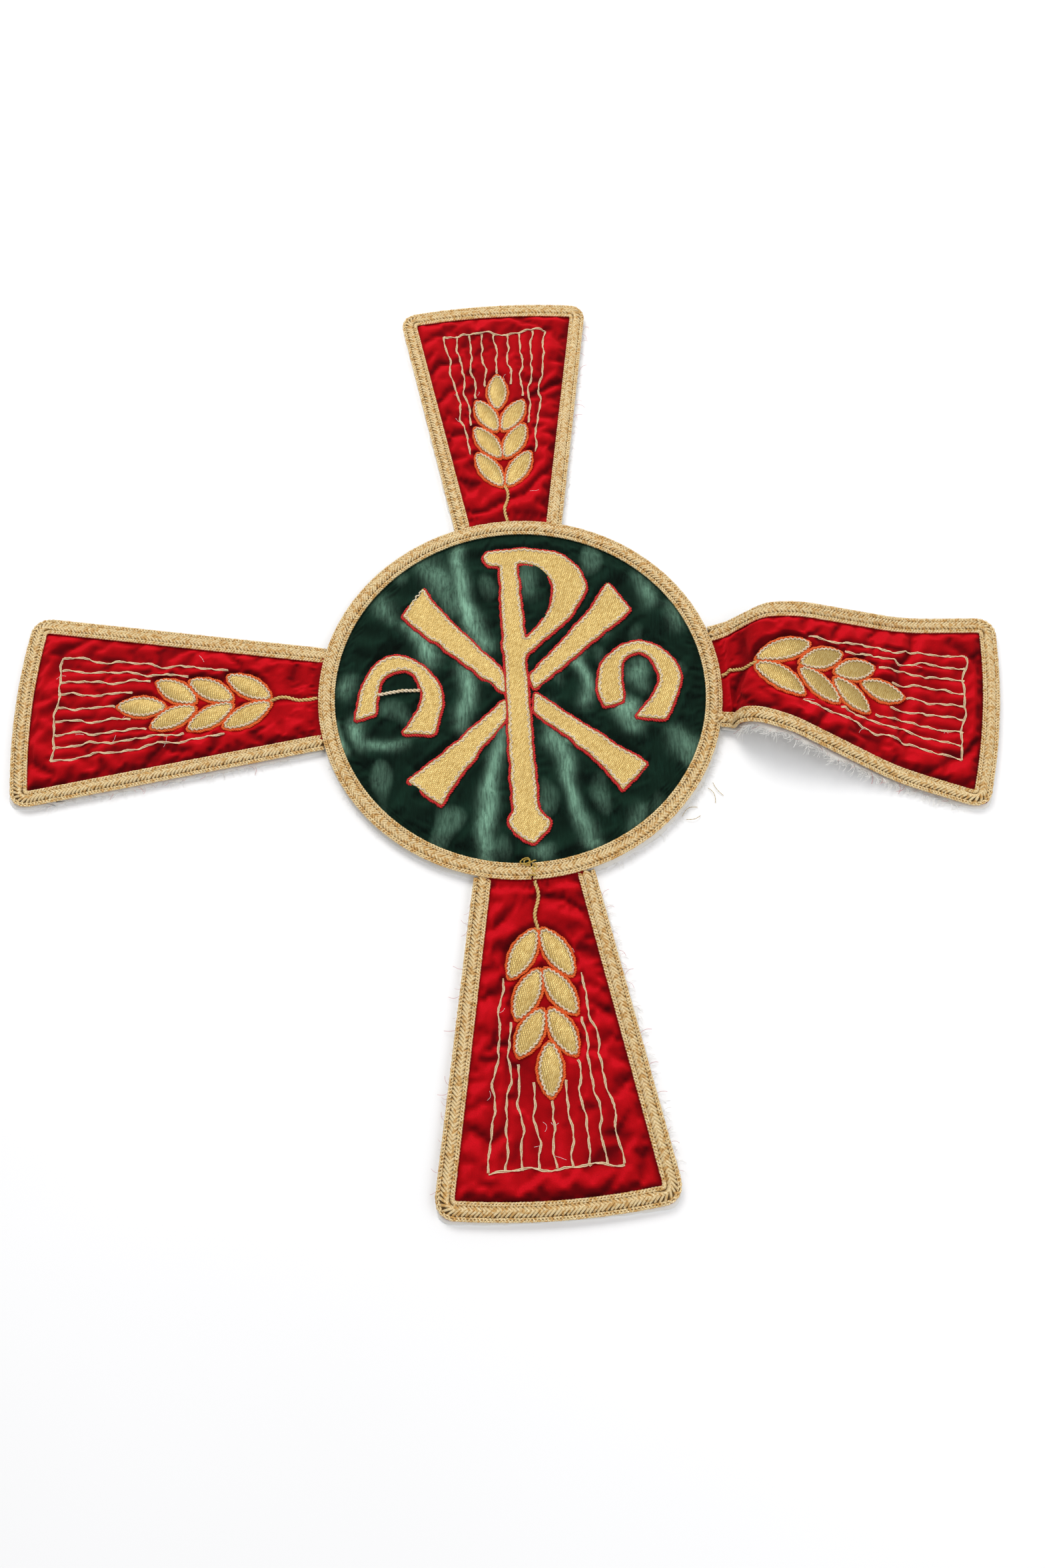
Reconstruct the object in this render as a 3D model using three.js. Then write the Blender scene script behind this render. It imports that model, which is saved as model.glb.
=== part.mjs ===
// The embroidered cross from the front of a chasuble: a green velvet roundel with a gold
// chi-rho, and four flared red velvet arms, each with an ear of wheat. Every panel is a
// white backing, a velvet face and a gold braid round its edge, laid one on another.
// Millimetres, +Z up. The origin is the centre of the roundel's underside, +Y runs up the
// top arm and +X points along the right arm, which arches off the surface it lies on.
import * as THREE from "three";

const { degToRad, lerp, smoothstep } = THREE.MathUtils;

// Driving dimensions
const ROUNDEL_RADIUS = 115;
const BRAID_WIDTH = 10;
const BRAID_THICKNESS = 2.2;
const LAYER_GAP = 0.3;
const SEAM_GAP = 0.6;

const BACKING_THICKNESS = 1.0;
const INTERLINING_THICKNESS = 0.9;
const VELVET_THICKNESS = 1.5;
const VELVET_INSET = 1.5;

const ARM_LENGTH = 169; // from the roundel's rim to the arm's outer corners
const RIGHT_ARM_LENGTH = 165; // it was cut a little shorter
const ARM_END_WIDTH = 122;
const ARM_ROOT_WIDTH = 65; // across the corners where the arm meets the rim
const ARM_ROOT_SETBACK = 4.5; // those corners lie this far inside the rim's outermost point
const END_BOW = 3;
const CORNER_RADIUS = 9;

const GRAIN_WIDTH = 12.6;
const GRAIN_EDGE_HEIGHT = 1.0;
const GRAIN_CROWN = 1.2;
const STEM_DIAMETER = 1.8;
const AWN_WIDTH = 1.2;
const AWN_HEIGHT = 0.9;
const AWN_SPACING = 8.3;
const AWN_WANDER = 1; // to each side of a straight line, three half waves long
const AWN_END = 148; // the thread that joins the awns, measured from the rim
const LAME_THICKNESS = 1.6;
const CROSSBAR_DIAMETER = 1.8;

// Heights at which the layers of a panel start
const VELVET_BASE = BACKING_THICKNESS + LAYER_GAP;
const ARM_TRIM_BASE = VELVET_BASE + VELVET_THICKNESS + LAYER_GAP;
const ROUNDEL_VELVET_BASE = VELVET_BASE + INTERLINING_THICKNESS + LAYER_GAP;
const ROUNDEL_TRIM_BASE = ROUNDEL_VELVET_BASE + VELVET_THICKNESS + LAYER_GAP;

const cloth = (color, roughness, metalness = 0) =>
  new THREE.MeshStandardMaterial({ color, roughness, metalness });
const MATERIALS = {
  backing: cloth(0xf0ece4, 0.95),
  interlining: cloth(0xd9d2c2, 0.95),
  greenVelvet: cloth(0x10382a, 0.9),
  redVelvet: cloth(0xb0080f, 0.9),
  braid: cloth(0xd9bd7c, 0.45, 0.5),
  lame: cloth(0xcdb068, 0.4, 0.6),
  cord: cloth(0xd8b566, 0.45, 0.5),
  thread: cloth(0xe3c893, 0.5, 0.4),
};

// Moves every vertex of a geometry to the point that place(x, y, z) gives for it.
function reshape(geometry, place) {
  const position = geometry.attributes.position;
  for (let i = 0; i < position.count; i += 1) {
    const moved = place(position.getX(i), position.getY(i), position.getZ(i));
    position.setXYZ(i, moved.x, moved.y, moved.z);
  }
  geometry.computeVertexNormals();
  return geometry;
}

// A block of rows by columns, reshaped: u and w run from 0 to 1, v from -1 to 1.
function block(rows, columns, place) {
  const box = new THREE.BoxGeometry(1, 1, 1, rows, columns, 1);
  return reshape(box, (x, y, z) => place(x + 0.5, y * 2, z + 0.5));
}

// A flat ribbon along a flat path, as wide as the braid.
function ribbon(points, lay, base, height) {
  const count = points.length;
  return block(count - 1, 1, (u, v, w) => {
    const i = Math.round(u * (count - 1));
    const ahead = points[Math.min(i + 1, count - 1)];
    const behind = points[Math.max(i - 1, 0)];
    const along = new THREE.Vector2().subVectors(ahead, behind).normalize();
    const aside = (v * BRAID_WIDTH) / 2;
    return lay(points[i].x - along.y * aside, points[i].y + along.x * aside, base + w * height);
  });
}

// A round cord along a flat path, resting at the height base.
function cord(points, lay, base, diameter) {
  const steps = points.length - 1;
  const tube = new THREE.CylinderGeometry(1, 1, 1, 6, steps);
  return reshape(tube, (x, y, z) => {
    const i = Math.round((y + 0.5) * steps);
    const ahead = points[Math.min(i + 1, steps)];
    const behind = points[Math.max(i - 1, 0)];
    const along = new THREE.Vector2().subVectors(ahead, behind).normalize();
    const aside = (z * diameter) / 2;
    const height = base + ((1 + x) * diameter) / 2;
    return lay(points[i].x - along.y * aside, points[i].y + along.x * aside, height);
  });
}

// ---- How an arm lies ----
// Each lay turns (s, t, h) into a point in the arm's own frame: s is the distance out from
// the rim along the arm's middle, t the distance to its left and h the height above its back.

const layFlat = (s, t, h) => new THREE.Vector3(ROUNDEL_RADIUS + s, t, h);

// The right arm climbs off the surface, comes back down to it and turns aside a little.
const ARCH = {
  rootLift: 2, // height of the arm's back at the seam
  climb: 57, // steepest slope up, in degrees
  fall: 18.95, // slope back down
  climbFull: 13, // distances out from the rim at which each slope starts or ends
  climbEase: 19,
  crest: 38,
  fallFull: 56,
  fallEase: 93,
  landing: 132,
  swing: -13.5, // turn in plan, complete at swingEnd
  swingEnd: 26,
};

function archPitch(s) {
  const up = smoothstep(s, 0, ARCH.climbFull) - smoothstep(s, ARCH.climbEase, ARCH.crest);
  const down = smoothstep(s, ARCH.crest, ARCH.fallFull) - smoothstep(s, ARCH.fallEase, ARCH.landing);
  return degToRad(ARCH.climb * up - ARCH.fall * down);
}

function makeArchedLay() {
  const span = ARM_LENGTH + END_BOW;
  const centres = [new THREE.Vector3(ROUNDEL_RADIUS, 0, ARCH.rootLift)];
  const headingAt = (s) => degToRad(ARCH.swing) * smoothstep(s, 0, ARCH.swingEnd);
  const outward = (s) => {
    const level = Math.cos(archPitch(s));
    const heading = headingAt(s);
    return new THREE.Vector3(
      level * Math.cos(heading),
      level * Math.sin(heading),
      Math.sin(archPitch(s)),
    );
  };
  for (let s = 0; s < span; s += 1) {
    centres.push(centres[s].clone().add(outward(s + 0.5)));
  }
  return (s, t, h) => {
    const step = THREE.MathUtils.clamp(Math.floor(s), 0, centres.length - 2);
    const along = outward(s);
    const left = new THREE.Vector3(-Math.sin(headingAt(s)), Math.cos(headingAt(s)), 0);
    const up = new THREE.Vector3().crossVectors(along, left);
    return centres[step]
      .clone()
      .addScaledVector(outward(step + 0.5), s - step)
      .addScaledVector(left, t)
      .addScaledVector(up, h);
  };
}

// ---- The outline of an arm ----

function halfWidth(arm, s) {
  const share = (s + ARM_ROOT_SETBACK) / (arm.length + ARM_ROOT_SETBACK);
  return lerp(ARM_ROOT_WIDTH, ARM_END_WIDTH, share) / 2;
}

// The arm's inner end follows the roundel's rim, its outer end bows and has round corners.
const innerEnd = (t) => Math.sqrt((ROUNDEL_RADIUS + SEAM_GAP) ** 2 - t ** 2) - ROUNDEL_RADIUS;
const bow = (t) => END_BOW * (1 - (t / (ARM_END_WIDTH / 2)) ** 2);

function outerEnd(arm, t, inset) {
  const radius = CORNER_RADIUS - inset;
  const past = Math.max(0, Math.abs(t) - (ARM_END_WIDTH / 2 - inset - radius));
  const cornerDrop = radius - Math.sqrt(Math.max(0, radius ** 2 - past ** 2));
  return arm.length + bow(t) - inset - cornerDrop;
}

// Divisions along an arm crowd towards the seam, where a raised arm bends most.
const crowd = (u) => u ** 1.5;

// A layer of the whole panel, set in from its edge all round but not at the seam.
function panelLayer(arm, inset, base, thickness) {
  const columns = 12;
  return block(arm.rows, columns, (u, v, w) => {
    const across = Math.sin((v * Math.PI) / 2);
    const inner = innerEnd(across * (ARM_ROOT_WIDTH / 2 - inset));
    const outer = outerEnd(arm, across * (ARM_END_WIDTH / 2 - inset), inset);
    const s = lerp(inner, outer, crowd(u));
    return arm.lay(s, across * (halfWidth(arm, s) - inset), base + w * thickness);
  });
}

// The braid's middle line: out along the left edge, across the end and back down the right.
function armBraid(arm) {
  const start = -1.6;
  const half = BRAID_WIDTH / 2;
  const easing = 8;
  const root = halfWidth(arm, start) - half;
  const corner = ARM_END_WIDTH / 2 - half;
  const end = arm.length - half + bow(corner);
  const slope = (corner - root) / (end - start);
  const path = new THREE.Path();
  path.moveTo(start, root);
  path.lineTo(end - easing, corner - easing * slope);
  path.quadraticCurveTo(end, corner, end, corner - easing);
  path.quadraticCurveTo(end + 2 * END_BOW, 0, end, easing - corner);
  path.quadraticCurveTo(end, -corner, end - easing, easing * slope - corner);
  path.lineTo(start, -root);
  const [leftSide, leftCorner, endSide, rightCorner, rightSide] = path.curves;
  const points = [
    ...Array.from({ length: arm.rows }, (_, i) => leftSide.getPoint(crowd(i / arm.rows))),
    ...leftCorner.getPoints(5),
    ...endSide.getPoints(6).slice(1),
    ...rightCorner.getPoints(5).slice(1),
    ...Array.from({ length: arm.rows }, (_, i) => rightSide.getPoint(1 - crowd(1 - (i + 1) / arm.rows))),
  ];
  return ribbon(points, arm.lay, ARM_TRIM_BASE, BRAID_THICKNESS);
}

// ---- The ear of wheat ----
// Grains sit in pairs up the stem, tilted outwards, with one at the tip.
const GRAINS = [
  { name: "low_left", s: 27, t: 1.6, length: 29.5, tilt: 29 },
  { name: "low_right", s: 27, t: -1.6, length: 29.5, tilt: -31 },
  { name: "middle_left", s: 48.5, t: 1.4, length: 28.5, tilt: 31 },
  { name: "middle_right", s: 48.5, t: -1.4, length: 28.5, tilt: -28 },
  { name: "high_left", s: 69.5, t: 2.6, length: 27, tilt: 25 },
  { name: "high_right", s: 69.5, t: -1.2, length: 27, tilt: -31 },
  { name: "tip", s: 86.5, t: 1.4, length: 27.5, tilt: -3 },
];

function grain(arm, { s, t, length, tilt }) {
  const turn = degToRad(tilt);
  const blunt = 0.4;
  return block(arm.grainSteps, 2, (u, v, w) => {
    const swell = Math.sin(Math.PI * u);
    const aside = v * Math.max(blunt, (GRAIN_WIDTH / 2) * swell ** 0.75);
    const crown = GRAIN_CROWN * swell * (1 - v * v);
    return arm.lay(
      s + u * length * Math.cos(turn) - aside * Math.sin(turn),
      t + u * length * Math.sin(turn) + aside * Math.cos(turn),
      ARM_TRIM_BASE + w * (GRAIN_EDGE_HEIGHT + crown),
    );
  });
}

// The twisted stem wanders from the rim to the ear.
function stem(arm) {
  const [from, to, wander] = [0.8, 26, 1.5];
  const steps = 8;
  const points = [];
  for (let i = 0; i <= steps; i += 1) {
    const s = lerp(from, to, i / steps);
    points.push(new THREE.Vector2(s, wander * Math.sin((2 * Math.PI * i) / steps)));
  }
  return cord(points, arm.lay, ARM_TRIM_BASE, STEM_DIAMETER);
}

// Nine awns run from the grains to a thread across their ends, like the teeth of a comb.
// Each is given by where it starts; the outer ends are evenly spaced.
const AWNS = [
  { s: 52, t: 20.2 },
  { s: 75, t: 18.6 },
  { s: 96.5, t: 14.8 },
  { s: 106, t: 8.2 },
  { s: 115.5, t: 0 },
  { s: 106, t: -8.2 },
  { s: 96.5, t: -15.2 },
  { s: 75, t: -17.6 },
  { s: 52, t: -20.2 },
];

function awns(arm) {
  const half = AWN_WIDTH / 2;
  const outerT = (i) => AWN_SPACING * ((AWNS.length - 1) / 2 - i);
  const outline = new THREE.Shape();
  outline.moveTo(AWN_END + half, outerT(0) + half);
  outline.lineTo(AWN_END + half, outerT(AWNS.length - 1) - half);
  for (let i = AWNS.length - 1; i >= 0; i -= 1) {
    const side = (edge, share) => {
      const wander = AWN_WANDER * Math.sin(3 * Math.PI * share);
      const t = lerp(outerT(i), AWNS[i].t, share) + wander + edge * half;
      outline.lineTo(lerp(AWN_END - half, AWNS[i].s, share), t);
    };
    for (let n = 0; n <= arm.threadSteps; n += 1) side(-1, n / arm.threadSteps);
    for (let n = arm.threadSteps; n >= 0; n -= 1) side(1, n / arm.threadSteps);
  }
  const comb = new THREE.ExtrudeGeometry(outline, { depth: AWN_HEIGHT, bevelEnabled: false });
  return reshape(comb, (s, t, h) => arm.lay(s, t, ARM_TRIM_BASE + h));
}

// ---- The roundel ----

function disc(radius, base, thickness) {
  const round = new THREE.CylinderGeometry(radius, radius, thickness, 72);
  return round.rotateX(Math.PI / 2).translate(0, 0, base + thickness / 2);
}

// The roundel's braid goes once round, and its two ends butt at the bottom.
function roundelBraid() {
  const steps = 84;
  const middle = ROUNDEL_RADIUS - BRAID_WIDTH / 2;
  const buttGap = 0.8 / middle;
  const points = [];
  for (let i = 0; i <= steps; i += 1) {
    const angle = lerp(buttGap / 2, 2 * Math.PI - buttGap / 2, i / steps) - Math.PI / 2;
    points.push(new THREE.Vector2(middle * Math.cos(angle), middle * Math.sin(angle)));
  }
  const level = (x, y, z) => new THREE.Vector3(x, y, z);
  return ribbon(points, level, ROUNDEL_TRIM_BASE, BRAID_THICKNESS);
}

// A motif cut from gold lame, given by its outline.
function lame(outline) {
  const options = { depth: LAME_THICKNESS, bevelEnabled: false, curveSegments: 8 };
  return new THREE.ExtrudeGeometry(outline, options).translate(0, 0, ROUNDEL_TRIM_BASE);
}

const v2 = (x, y) => new THREE.Vector2(x, y);

// The rho: a staff with a spearhead foot, a serif and a bowl that springs from its head.
function rho() {
  const outline = new THREE.Shape();
  outline.moveTo(-7.6, 83);
  outline.lineTo(-13.5, 83);
  outline.quadraticCurveTo(-20.5, 89, -13.5, 94);
  outline.lineTo(5, 94.2);
  outline.splineThru([v2(27, 90), v2(38.5, 79), v2(42.6, 65), v2(34, 49), v2(19, 34), v2(5.4, 22.5)]);
  outline.lineTo(4, 20);
  outline.lineTo(5.8, -74.5);
  outline.quadraticCurveTo(8, -79, 12.6, -81.5);
  outline.lineTo(9.5, -88);
  outline.lineTo(1.2, -95);
  outline.lineTo(-9, -87);
  outline.lineTo(-11, -80);
  outline.quadraticCurveTo(-8, -77, -7.8, -72);
  outline.closePath();
  const counter = new THREE.Path();
  counter.moveTo(4.6, 32);
  counter.splineThru([v2(16.5, 45), v2(23, 61), v2(21.5, 73), v2(13, 82.2), v2(3, 84.6)]);
  counter.closePath();
  outline.holes.push(counter);
  return lame(outline);
}

// A bar of the chi: it leaves the staff with the height inner[0].y to inner[1].y, narrows a
// little and then flares to its cut end.
function chiBar(inner, waist, outer) {
  const outline = new THREE.Shape();
  outline.moveTo(inner[0].x, inner[0].y);
  outline.quadraticCurveTo(waist[0].x, waist[0].y, outer[0].x, outer[0].y);
  outline.lineTo(outer[1].x, outer[1].y);
  outline.quadraticCurveTo(waist[1].x, waist[1].y, inner[1].x, inner[1].y);
  outline.closePath();
  return lame(outline);
}

const CHI_BARS = {
  chi_upper_left: [
    [v2(-8.6, 12), v2(-8.6, -2.6)],
    [v2(-44, 52), v2(-48, 34)],
    [v2(-54, 71), v2(-66.5, 51.5)],
  ],
  chi_upper_right: [
    [v2(5.2, 7.5), v2(8.4, -0.8)],
    [v2(47, 50), v2(50, 34)],
    [v2(55.5, 68), v2(67.6, 47.5)],
  ],
  chi_lower_left: [
    [v2(-8.6, -6.2), v2(-8.6, -18.5)],
    [v2(-46, -40), v2(-40, -54)],
    [v2(-65, -53), v2(-47, -70)],
  ],
  chi_lower_right: [
    [v2(8.4, -2.6), v2(6.4, -15.5)],
    [v2(53, -41), v2(44, -47)],
    [v2(68, -51), v2(52.6, -67.3)],
  ],
};

// The arched letter left of the staff: a round arch whose right leg hooks back to a point.
function archedLetter() {
  const outline = new THREE.Shape();
  outline.moveTo(-93.8, -15);
  outline.splineThru([
    v2(-91.3, 0),
    v2(-83.5, 19),
    v2(-70, 25.6),
    v2(-55, 18.5),
    v2(-44.5, -0.5),
    v2(-49.5, -26),
  ]);
  outline.lineTo(-68, -24);
  outline.splineThru([
    v2(-60, -13),
    v2(-55.6, 0),
    v2(-61, 13.5),
    v2(-70.5, 16.5),
    v2(-79, 8.5),
    v2(-82, -11.5),
  ]);
  outline.closePath();
  return lame(outline);
}

// The cord across the arched letter.
function crossbar() {
  const points = [v2(-80.3, 1.2), v2(-74, 2.2), v2(-66, 3), v2(-57.2, 2.6)];
  const level = (x, y, z) => new THREE.Vector3(x, y, z);
  return cord(points, level, ROUNDEL_TRIM_BASE, CROSSBAR_DIAMETER);
}

// The horseshoe letter right of the staff.
function horseshoeLetter() {
  const outline = new THREE.Shape();
  outline.moveTo(46.2, -15);
  outline.splineThru([v2(44.6, 1), v2(50.5, 17), v2(68, 26.6), v2(84, 19.5), v2(92, 1), v2(81, -25)]);
  outline.lineTo(63.5, -21.8);
  outline.splineThru([v2(73, -12), v2(79.8, 3), v2(75, 16), v2(67, 19.4), v2(58.6, 11), v2(58.4, -11.5)]);
  outline.closePath();
  return lame(outline);
}

// ---- Putting the cross together ----

function named(name, geometry, material) {
  const mesh = new THREE.Mesh(geometry, material);
  mesh.name = name;
  return mesh;
}

function makeRoundel() {
  const group = new THREE.Group();
  const edge = ROUNDEL_RADIUS;
  group.add(
    named("roundel_backing", disc(edge, 0, BACKING_THICKNESS), MATERIALS.backing),
    named(
      "roundel_interlining",
      disc(edge - VELVET_INSET, VELVET_BASE, INTERLINING_THICKNESS),
      MATERIALS.interlining,
    ),
    named(
      "roundel_velvet",
      disc(edge - VELVET_INSET, ROUNDEL_VELVET_BASE, VELVET_THICKNESS),
      MATERIALS.greenVelvet,
    ),
    named("roundel_braid", roundelBraid(), MATERIALS.braid),
    named("rho", rho(), MATERIALS.lame),
    named("arched_letter", archedLetter(), MATERIALS.lame),
    named("arched_letter_crossbar", crossbar(), MATERIALS.cord),
    named("horseshoe_letter", horseshoeLetter(), MATERIALS.lame),
  );
  for (const [name, [inner, waist, outer]] of Object.entries(CHI_BARS)) {
    group.add(named(name, chiBar(inner, waist, outer), MATERIALS.lame));
  }
  return group;
}

// heading is the arm's direction in plan. rows, threadSteps and grainSteps say how finely its
// pieces are divided along their length.
const FLAT_ARM = { length: ARM_LENGTH, lay: layFlat, rows: 1, threadSteps: 6, grainSteps: 6 };
const ARCHED_ARM = {
  length: RIGHT_ARM_LENGTH,
  lay: makeArchedLay(),
  rows: 30,
  threadSteps: 12,
  grainSteps: 10,
};
const ARMS = [
  { name: "top_arm", heading: 90.4, ...FLAT_ARM },
  { name: "left_arm", heading: 179, ...FLAT_ARM },
  { name: "bottom_arm", heading: 270.6, ...FLAT_ARM },
  { name: "right_arm", heading: 0.5, ...ARCHED_ARM },
];

function makeArm(arm) {
  const group = new THREE.Group();
  const backing = panelLayer(arm, 0, 0, BACKING_THICKNESS);
  const velvet = panelLayer(arm, VELVET_INSET, VELVET_BASE, VELVET_THICKNESS);
  group.add(
    named(`${arm.name}_backing`, backing, MATERIALS.backing),
    named(`${arm.name}_velvet`, velvet, MATERIALS.redVelvet),
    named(`${arm.name}_braid`, armBraid(arm), MATERIALS.braid),
    named(`${arm.name}_stem`, stem(arm), MATERIALS.cord),
    named(`${arm.name}_awns`, awns(arm), MATERIALS.thread),
  );
  for (const place of GRAINS) {
    group.add(named(`${arm.name}_grain_${place.name}`, grain(arm, place), MATERIALS.lame));
  }
  group.rotation.z = degToRad(arm.heading);
  return group;
}

const cross = new THREE.Group();
cross.add(makeRoundel(), ...ARMS.map(makeArm));

export default cross;
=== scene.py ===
"""Looks of the embroidered cross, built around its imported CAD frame.

Lengths in the tables below are millimetres, as in the CAD source, and become metres when a
mesh is made. An arm's own coordinates are s, the distance out from the roundel's rim along
the arm's middle, t, the distance to its left, and h, the height above its back.
"""

import math

import bpy
import numpy as np
from mathutils import Matrix, Vector
from mathutils.bvhtree import BVHTree


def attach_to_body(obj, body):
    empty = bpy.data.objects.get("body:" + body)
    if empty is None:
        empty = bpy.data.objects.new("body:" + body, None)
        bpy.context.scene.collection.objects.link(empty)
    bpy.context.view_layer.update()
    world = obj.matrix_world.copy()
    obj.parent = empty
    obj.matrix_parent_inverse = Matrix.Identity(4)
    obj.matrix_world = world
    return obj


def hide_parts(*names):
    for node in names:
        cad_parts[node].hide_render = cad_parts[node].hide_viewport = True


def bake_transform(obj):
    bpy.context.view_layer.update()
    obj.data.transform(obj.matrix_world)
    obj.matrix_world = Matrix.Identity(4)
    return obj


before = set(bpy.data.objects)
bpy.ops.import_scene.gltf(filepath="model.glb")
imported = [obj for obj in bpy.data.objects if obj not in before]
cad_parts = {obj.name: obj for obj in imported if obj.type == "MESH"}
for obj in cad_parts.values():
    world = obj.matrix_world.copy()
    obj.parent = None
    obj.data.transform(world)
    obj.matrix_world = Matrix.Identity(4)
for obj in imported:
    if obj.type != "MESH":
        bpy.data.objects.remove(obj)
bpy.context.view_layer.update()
scene = bpy.context.scene
MM = 0.001

# ---- Camera ----

camera_data = bpy.data.cameras.new("camera")
camera_data.lens = 28.95
camera_data.sensor_width = 36
camera_data.clip_start = 0.01
camera = bpy.data.objects.new("camera", camera_data)
scene.collection.objects.link(camera)
camera_axes = Matrix(
    (
        (0.998228, -0.058143, -0.012695),
        (0.058312, 0.912908, 0.403972),
        (-0.011899, -0.403996, 0.91468),
    )
).transposed()
camera.matrix_world = Matrix.Translation((-0.01028, -0.33885, 0.63866)) @ camera_axes.to_4x4()
scene.camera = camera

# ---- The CAD's driving dimensions ----

ROUNDEL_RADIUS = 115
SEAM_GAP = 0.6
BRAID_WIDTH = 10
BACKING = 1.0
VELVET_INSET = 1.5
VELVET_BASE = 1.3
VELVET_TOP = 2.8
ARM_TRIM = 3.1
ROUNDEL_VELVET_BASE = 2.5
ROUNDEL_VELVET_TOP = 4.0
ROUNDEL_TRIM = 4.3
ARM_END_WIDTH = 122
ARM_ROOT_WIDTH = 65
ARM_ROOT_SETBACK = 4.5
END_BOW = 3
CORNER_RADIUS = 9
# How far the cut velvets reach from the roundel's middle, under its braid.
ROUNDEL_VELVET_RADIUS = 108.4
ARM_VELVET_START = 109.4
ARMS = {
    "top_arm": {"heading": 90.4, "length": 169, "arched": False},
    "left_arm": {"heading": 179, "length": 169, "arched": False},
    "bottom_arm": {"heading": 270.6, "length": 169, "arched": False},
    "right_arm": {"heading": 0.5, "length": 165, "arched": True},
}


def smoothstep(x, low, high):
    share = np.clip((np.asarray(x, float) - low) / (high - low), 0, 1)
    return share * share * (3 - 2 * share)


def lerp(a, b, share):
    return a + (b - a) * share


# ---- How an arm lies ----


def arch_pitch(s):
    up = smoothstep(s, 0, 13) - smoothstep(s, 19, 38)
    down = smoothstep(s, 38, 56) - smoothstep(s, 93, 132)
    return np.radians(57 * up - 18.95 * down)


def arch_heading(s):
    return np.radians(-13.5) * smoothstep(s, 0, 26)


def arch_outward(s):
    pitch, heading = arch_pitch(s), arch_heading(s)
    level = np.cos(pitch)
    return np.stack([level * np.cos(heading), level * np.sin(heading), np.sin(pitch)], axis=-1)


ARCH_STEPS = arch_outward(np.arange(180) + 0.5)
ARCH_CENTRES = np.vstack([[0, 0, 0], np.cumsum(ARCH_STEPS, axis=0)]) + [ROUNDEL_RADIUS, 0, 2]


def lay(arm, s, t, h):
    """Points in the row frame, and the direction up from the cloth there."""
    s, t, h = np.broadcast_arrays(*(np.asarray(x, float) for x in (s, t, h)))
    if arm["arched"]:
        step = np.clip(np.floor(s), 0, 179).astype(int)
        along = arch_outward(s)
        heading = arch_heading(s)
        left = np.stack([-np.sin(heading), np.cos(heading), 0 * heading], axis=-1)
        up = np.cross(along, left)
        run = (s - step)[..., None] * ARCH_STEPS[step]
        points = ARCH_CENTRES[step] + run + left * t[..., None] + up * h[..., None]
    else:
        points = np.stack([ROUNDEL_RADIUS + s, t, h], axis=-1)
        up = np.zeros_like(points)
        up[..., 2] = 1
    turn = math.radians(arm["heading"])
    spin = np.array([[math.cos(turn), math.sin(turn), 0], [-math.sin(turn), math.cos(turn), 0], [0, 0, 1]])
    return points @ spin, up @ spin


def half_width(arm, s):
    share = (s + ARM_ROOT_SETBACK) / (arm["length"] + ARM_ROOT_SETBACK)
    return lerp(ARM_ROOT_WIDTH, ARM_END_WIDTH, share) / 2


def bow(t):
    return END_BOW * (1 - (t / (ARM_END_WIDTH / 2)) ** 2)


def outer_end(arm, t, inset):
    radius = CORNER_RADIUS - inset
    past = np.clip(np.abs(t) - (ARM_END_WIDTH / 2 - inset - radius), 0, radius)
    return arm["length"] + bow(t) - inset - (radius - np.sqrt(radius**2 - past**2))


# ---- Meshes ----


def link(name, mesh):
    made = bpy.data.objects.new(name, mesh)
    scene.collection.objects.link(made)
    return made


def mesh_object(name, points, faces=(), edges=(), smooth=True):
    """A mesh from points in millimetres."""
    mesh = bpy.data.meshes.new(name)
    mesh.from_pydata((np.asarray(points, float) * MM).tolist(), list(edges), list(faces))
    if faces:
        mesh.polygons.foreach_set("use_smooth", [smooth] * len(mesh.polygons))
    mesh.update()
    return link(name, mesh)


def store(mesh, name, values):
    """A number, or a vector, kept on each vertex."""
    values = np.asarray(values, np.float32)
    kind, key = ("FLOAT", "value") if values.ndim == 1 else ("FLOAT_VECTOR", "vector")
    attribute = mesh.attributes.get(name) or mesh.attributes.new(name, kind, "POINT")
    attribute.data.foreach_set(key, values.ravel())


def coordinates(mesh):
    flat = np.zeros(len(mesh.vertices) * 3)
    mesh.vertices.foreach_get("co", flat)
    return flat.reshape(-1, 3)


def grid_faces(rows, columns, start=0, flip=False):
    """Quads of a grid with rows + 1 by columns + 1 points."""
    faces = []
    for i in range(rows):
        for j in range(columns):
            a = start + i * (columns + 1) + j
            face = (a, a + columns + 1, a + columns + 2, a + 1)
            faces.append(face[::-1] if flip else face)
    return faces


def rim_of(rows, columns):
    """Indices round the edge of such a grid, in order."""
    width = columns + 1
    first = list(range(width))
    right = [i * width + columns for i in range(1, rows + 1)]
    last = [rows * width + j for j in range(columns - 1, -1, -1)]
    left = [i * width for i in range(rows - 1, 0, -1)]
    return first + right + last + left


def slab(name, top, bottom, rows, columns):
    """A closed sheet from two grids of points, top and bottom. Both run outwards, then left."""
    count = (rows + 1) * (columns + 1)
    faces = grid_faces(rows, columns) + grid_faces(rows, columns, count, True)
    rim = rim_of(rows, columns)
    for a, b in zip(rim, rim[1:] + rim[:1]):
        faces.append((a, b, b + count, a + count))
    return mesh_object(name, np.vstack([top.reshape(-1, 3), bottom.reshape(-1, 3)]), faces)


def guide(name, lines, closed=False):
    """Loose edges that a cord follows: lines is a list of (points, ups) in millimetres."""
    points, ups, edges = [], [], []
    for line, up in lines:
        first, count = len(points), len(line)
        points.extend(np.asarray(line, float).tolist())
        ups.extend(np.broadcast_to(np.asarray(up, float), (count, 3)).tolist())
        edges.extend((first + i, first + i + 1) for i in range(count - 1))
        if closed:
            edges.append((first + count - 1, first))
    made = mesh_object(name, points, edges=edges)
    store(made.data, "up", ups)
    return made


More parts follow.
